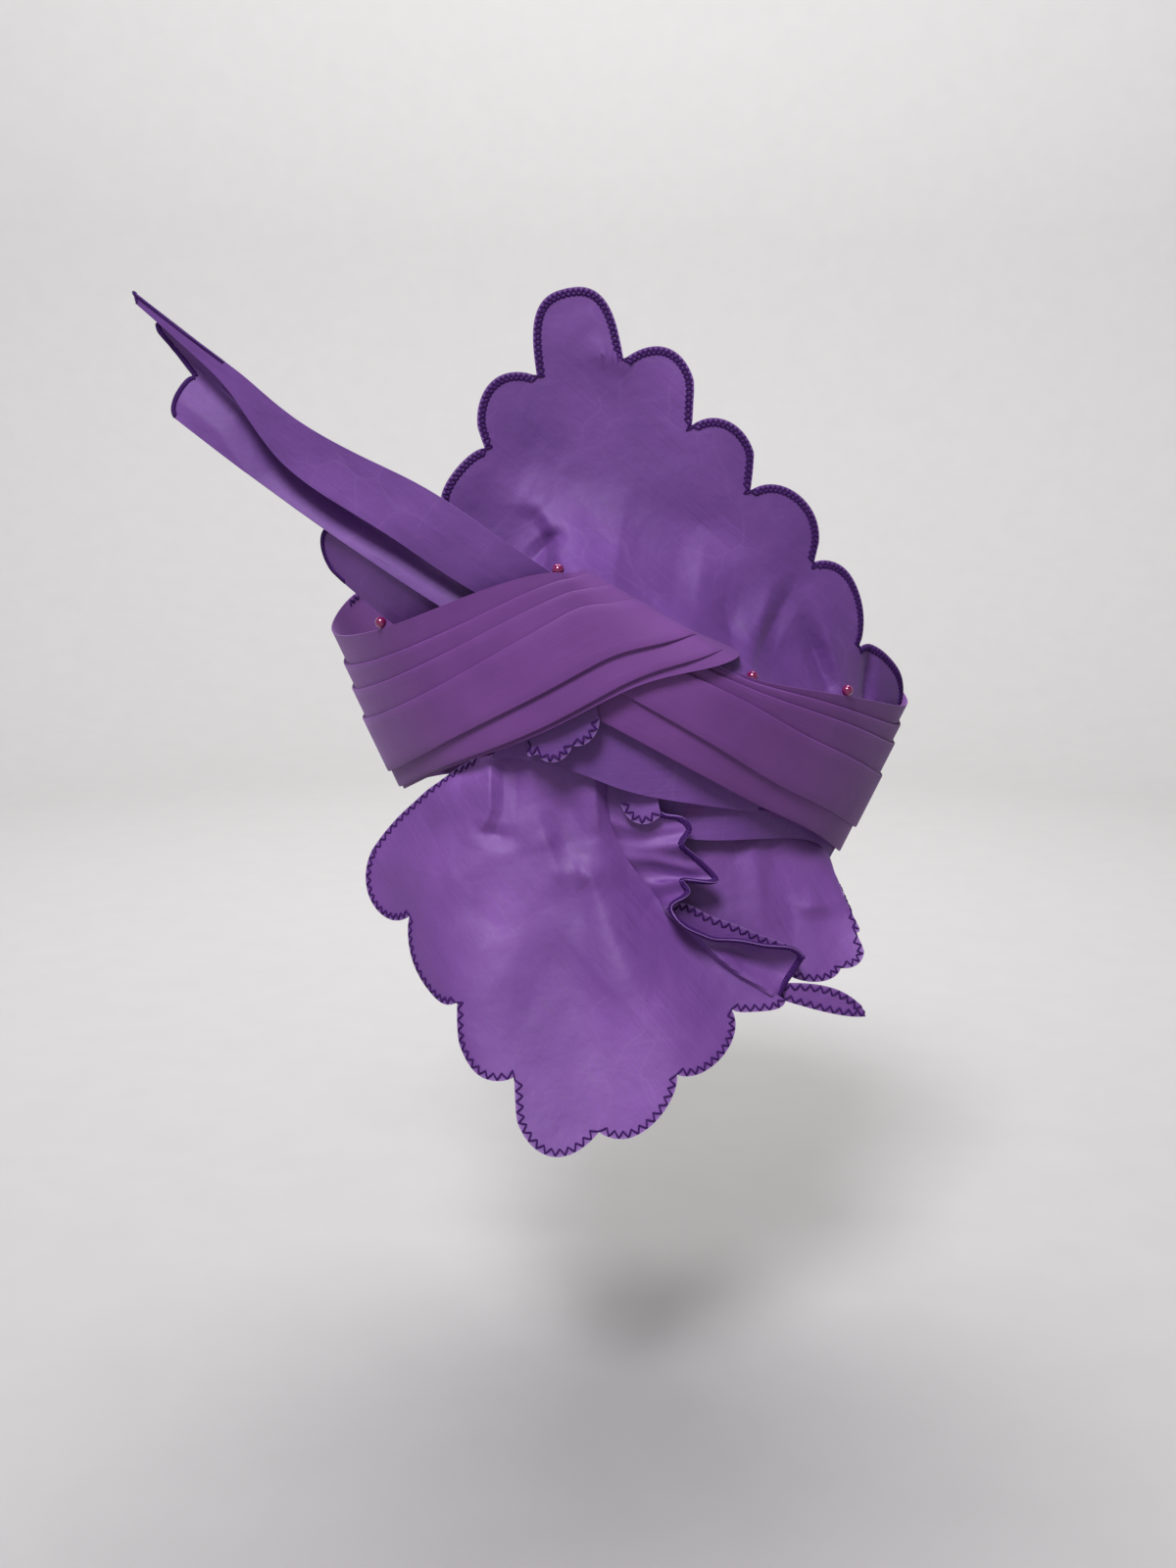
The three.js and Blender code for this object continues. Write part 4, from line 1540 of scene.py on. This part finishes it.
RUFFLE_ROWS = (
    Row((-7, -77, 31), (11, -81, 28)),
    Row((-9, -77, 20), (16.7, -82, 19)),
    Row((-9.5, -76, 11), (25, -81, 17)),
    Row((-7, -76, 5), (29.5, -79.5, 11)),
    Row((-4, -76, 0), (26, -84, 6.5)),
    Row((-1, -76, -5), (31, -81, 0.5)),
    Row((2, -76, -9), (41, -79, -10)),
    Row((5, -76, -12.5), (35, -84, -10.6)),
    Row((9, -76, -16), (26, -87, -9)),
    Row((12, -76, -19.5), (28.5, -88, -14)),
    Row((16, -76.5, -23), (22, -90, -18)),
    Row((19, -77, -26.5), (21, -91, -22)),
    Row((24, -78, -31), (25.5, -91.5, -27), (26, -84, -28)),
    Row((31, -79.5, -38), (33, -91, -31), (33, -83, -33.5)),
    Row((40, -81, -46.5), (41, -90.5, -33.7), (42, -81.5, -39)),
    Row((48, -82, -53), (51, -90, -34.6), (50.5, -80.5, -42)),
    Row((56, -83, -58), (61, -89, -37), (60, -80.5, -45.5)),
    Row((62, -83.5, -62), (72, -87, -38.4), (69, -80.5, -48)),
    Row((66, -84, -64), (78, -85.5, -43.5), (74, -82, -52)),
)
RUFFLE_FOLDS = (
    Fold(((22, -25), (33, -35), (42, -43.5), (50, -50), (58, -55), (64, -59)), 7.5, 8, 5, (0.3, 0.8)),
    Fold(((-6, 14), (10, 10), (26, 12)), 2.0, 5, 6, (0.6, 0.8)),
    Fold(((-1, -2), (14, -2), (30, -6)), 2.0, 4, 6, (0.6, 0.8)),
)
LIP_ROWS = (
    Row((18, -88, -21), (21, -88, -19.5)),
    Row((24, -84, -29), (28, -82, -21)),
    Row((32, -80.5, -36), (37, -78.5, -26.5)),
    Row((46, -78, -42), (47, -77.5, -30.5)),
    Row((62, -77.5, -45), (60, -77, -36)),
    Row((77, -77.5, -48), (75, -77, -41.5)),
)
SIDE_PANEL_ROWS = (
    Row((8, -70, 10), (6, -74, -36), None, 0),
    Row((28, -67, 8), (24, -75, -40), None, 4),
    Row((47, -61.5, 6), (48, -76, -51), None, 3),
    Row((67, -50.5, 5), (72, -74.5, -54), None, 4),
    Row((80, -37.5, 1), (97, -67, -54), None, 4),
    Row((88, -27, -2), (105, -57, -41), None, 3),
    Row((94, -20, -6), (100, -42, -25), None, 0),
)
PANEL_FOLDS = (
    Fold(((72, -24), (80, -28), (97, -29)), 4.0, 9, 7, (0.2, 0.6)),
    Fold(((66, -6), (76, -30), (74, -52)), -2.5, 12, 10, (0.5, 0.2)),
    Fold(((58, 0), (62, -40)), 2.0, 9, 9, (0.8, 0.1)),
)
TONGUE_ROWS = (
    Row((62, -80, -62), (64, -80, -57)),
    Row((81, -83, -67), (81, -83.5, -56)),
    Row((97, -82, -71), (95, -82, -60)),
    Row((106, -80, -72), (104, -80, -67)),
)
INNER_LOBE_ROWS = (
    Row((-1, -81, 31), (-1, -82, 23)),
    Row((3, -81.5, 31), (3, -83.5, 16.5)),
    Row((9, -82, 30), (10, -84, 14.5)),
    Row((14, -82.5, 29), (16, -84, 18)),
)

SINGLE = ZigzagSeam()
DOUBLE = ZigzagSeam(Stitch.DOUBLE, outside=0.5, inside=3.4)
DENSE = ZigzagSeam(Stitch.DENSE, outside=0.1, inside=1.9, radius=0.38)
FRILLED = ZigzagSeam(Stitch.DENSE, outside=0.2, inside=2.4, radius=0.42)
FINE = ZigzagSeam(Stitch.DENSE, outside=0.1, inside=1.2, radius=0.3)
SHEETS = (
    Sheet("crest_sheet", ("crest_flap",), CREST_ROWS, CREST_FOLDS, DOUBLE, (Side.RIM,), Held.STRETCHED,
          ("crown_wrap", "pleated_wrap"), (0.35, 0.2), 26.0, 1.0, -40.0, seed=1.0, knee=1.6),
    Sheet("nape_sheet", ("nape_flap",), NAPE_ROWS, NAPE_FOLDS, SINGLE, (Side.RIM, Side.FIRST), Held.GATHERED,
          ("pleated_wrap",), (0.45, 0.22), 24.0, 1.0, -50.0, seed=2.0),
    Sheet("under_fold_upper_sheet", ("under_fold_upper",), UNDER_UPPER_ROWS, seed=3.0,
          rests_on=("pleated_wrap",), crumples=(0.1, 0.1)),
    Sheet("under_fold_lower_sheet", ("under_fold_lower",), UNDER_LOWER_ROWS, seed=4.0,
          rests_on=("pleated_wrap",), crumples=(0.1, 0.1)),
    Sheet("tucked_lobe_sheet", ("tucked_lobe",), TUCKED_ROWS, (), SINGLE, (Side.RIM,),
          rests_on=("pleated_wrap",), crumples=(0.1, 0.05), seed=5.0),
    Sheet("tail_upper_sheet", ("tail_upper_leaf",), TAIL_UPPER_ROWS, (), FINE, (Side.RIM, Side.LAST),
          rests_on=("pleated_wrap",), crumples=(0.1, 0.08), seed=6.0, grain_turn=-35.0, sewn_from=0.82),
    Sheet("tail_lower_sheet", ("tail_lower_leaf",), TAIL_LOWER_ROWS, TAIL_FOLDS, DENSE, (Side.RIM,),
          rests_on=("pleated_wrap",), crumples=(0.1, 0.08), seed=7.0, grain_turn=-35.0),
    Sheet("tail_short_sheet", ("tail_short_leaf",), TAIL_SHORT_ROWS, (), DENSE, (Side.RIM,),
          rests_on=("pleated_wrap",), crumples=(0.1, 0.05), seed=8.0, grain_turn=-35.0),
    Sheet("side_ruffle_sheet", ("side_ruffle",), RUFFLE_ROWS, RUFFLE_FOLDS, FRILLED,
          (Side.RIM, Side.LAST), Held.GATHERED, ("pleated_wrap", "nape_sheet"), (0.15, 0.1), 14.0, 0.3,
          -50.0, seed=9.0),
    Sheet("side_lip_sheet", ("side_lip",), LIP_ROWS, (), SINGLE, (Side.RIM,), Held.GATHERED,
          ("side_ruffle_sheet",), (0.1, 0.1), seed=10.0),
    Sheet("side_panel_sheet", ("side_panel",), SIDE_PANEL_ROWS, PANEL_FOLDS, SINGLE, (Side.RIM,), Held.HUNG,
          ("pleated_wrap",), (0.3, 0.2), 18.0, 0.6, -60.0, seed=11.0),
    Sheet("edge_tongue_sheet", ("edge_tongue",), TONGUE_ROWS, (), SINGLE, (Side.RIM, Side.ROOT), Held.HUNG,
          ("side_ruffle_sheet",), (0.05, 0.05), seed=12.0),
    Sheet("inner_lobe_sheet", ("inner_lobe",), INNER_LOBE_ROWS, (), SINGLE, (Side.RIM,),
          rests_on=("side_ruffle_sheet",), crumples=(0.05, 0.05), seed=13.0),
)
PINS = ("pin_centre", "pin_left", "pin_mid", "pin_right")


@dataclass(frozen=True)
class SoftLight:
    """A square soft light.

    Attributes:
        name: its name.
        place: where it stands, in millimetres.
        power: watts.
        size: its side in metres.
        aim: the place that it looks at, in millimetres.
        colour: its tint.
    """

    name: str
    place: Place
    power: float
    size: float
    aim: Place = (0.0, -30.0, 50.0)
    colour: str = "#FFFFFF"

    def build(self) -> None:
        """Makes the light."""
        data = bpy.data.lights.new(self.name, "AREA")
        data.energy, data.size = self.power, self.size
        data.color = linear(self.colour)[:3]
        made = bpy.data.objects.new(self.name, data)
        made.location = [c * MM for c in self.place]
        look = Vector(self.aim) * MM - made.location
        made.rotation_euler = look.to_track_quat("-Z", "Y").to_euler()
        bpy.context.scene.collection.objects.link(made)


@dataclass
class Studio:
    """Pale sweep, soft lights and the camera at the photograph's angle.

    Attributes:
        eye: the camera's place in millimetres.
        tilt: degrees that it looks down.
        lens: focal length for a sensor of 36 mm on the frame's long side.
        sensor: that sensor's length.
        floor: height of the floor in millimetres.
        flat: radius of the floor's flat middle.
        bend: radius of the floor's bend up into the backdrop.
        wall: height of the backdrop.
        sky: colour of the light from all around.
        sky_strength: strength of that light.
        lights: its soft lights.
    """

    eye: Place = (-14.5, -687.1, 148.8)
    tilt: float = 11.0
    lens: float = 33.75
    sensor: float = 36.0
    floor: float = -260.0
    flat: float = 1500.0
    bend: float = 900.0
    wall: float = 4200.0
    sky: str = "#F4F2F5"
    sky_strength: float = 0.05
    lights: tuple[SoftLight, ...] = (
        SoftLight("key", (-560.0, -1900.0, 2400.0), 133.0, 0.9, colour="#FBF9FF"),
        SoftLight("backdrop", (0.0, 700.0, 1700.0), 75.0, 1.2, (0.0, 2000.0, 0.0)),
    )

    def camera(self) -> None:
        """Makes the camera."""
        data = bpy.data.cameras.new("camera")
        data.lens = self.lens
        data.sensor_width = self.sensor
        made = bpy.data.objects.new("camera", data)
        made.location = [c * MM for c in self.eye]
        made.rotation_euler = (math.radians(90 - self.tilt), 0.0, 0.0)
        bpy.context.scene.collection.objects.link(made)
        bpy.context.scene.camera = made

    def sweep(self) -> None:
        """Makes the round floor, which bends up into a backdrop on every side."""
        profile = [(0.0, 0.0), (self.flat / 2, 0.0)]
        for turn in np.radians(np.arange(0, 91, 6)):
            profile.append((self.flat + self.bend * math.sin(turn), self.bend * (1 - math.cos(turn))))
        profile.append((self.flat + self.bend, self.wall))
        places = np.array([
            (r * math.cos(turn), r * math.sin(turn), z + self.floor)
            for turn in np.radians(np.arange(0, 360, 5)) for r, z in profile
        ])
        count, whole = len(profile), len(places)
        faces = [
            [start + k, (start + count + k) % whole, (start + count + k + 1) % whole, start + k + 1]
            for start in range(0, whole, count) for k in range(count - 1)
        ]
        make_object("sweep", places, faces, PaleBoard().material(), 60.0)

    def build(self) -> None:
        """Makes the whole studio."""
        self.camera()
        self.sweep()
        for light in self.lights:
            light.build()
        world = bpy.data.worlds.new("studio")
        world.use_nodes = True
        around = world.node_tree.nodes["Background"]
        around.inputs["Color"].default_value = linear(self.sky)
        around.inputs["Strength"].default_value = self.sky_strength
        bpy.context.scene.world = world
        bpy.context.scene.view_settings.view_transform = "Standard"


def main() -> None:
    """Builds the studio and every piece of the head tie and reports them."""
    logging.basicConfig(level=logging.INFO, format="%(message)s")
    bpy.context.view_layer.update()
    noise.seed_set(NOISE_SEED)
    Studio().build()
    flap = Taffeta("calendered_taffeta").material()
    # A darker copy of the same taffeta, painted shade, for the crest, the tail leaves, the under folds and
    # the lobes.
    painted_shade_cloth = Taffeta("painted_shade_taffeta", "#4F2A6B", "#573073", "#60387D", gloss=0.6).material()
    band = Taffeta(
        "pressed_taffeta", "#582D6A", "#5E3271", "#653878",
        slub_strength=0.14, wear=0.0, crinkle_depth=0.7, gloss=0.45,
    ).material()
    thread = SewingThread().material()
    pearl, steel = PearlDip().material(), PinSteel().material()
    ring = FarRing().rows(RIGHT_BAND[-1].pleats, FAR_PLEATS, LEFT_BAND[0].pleats)
    pieces = PleatedWrap((*RIGHT_BAND, *ring, *LEFT_BAND)).build(band, thread)
    pieces += CrownWrap().build(band)
    for sheet in SHEETS:
        # Stretched and folded sheets get the darker copy, which is painted shade; the others get the plain
        # one.
        pieces += sheet.build(painted_shade_cloth if sheet.held in (Held.STRETCHED, Held.FOLDED) else flap, thread)
    for name in PINS:
        pieces += PearlPin(name).build(pearl, steel)
    for piece in pieces:
        log.info("%s: %d faces of %s", piece.name, len(piece.data.polygons), piece.data.materials[0].name)


if __name__ == "__main__":
    main()
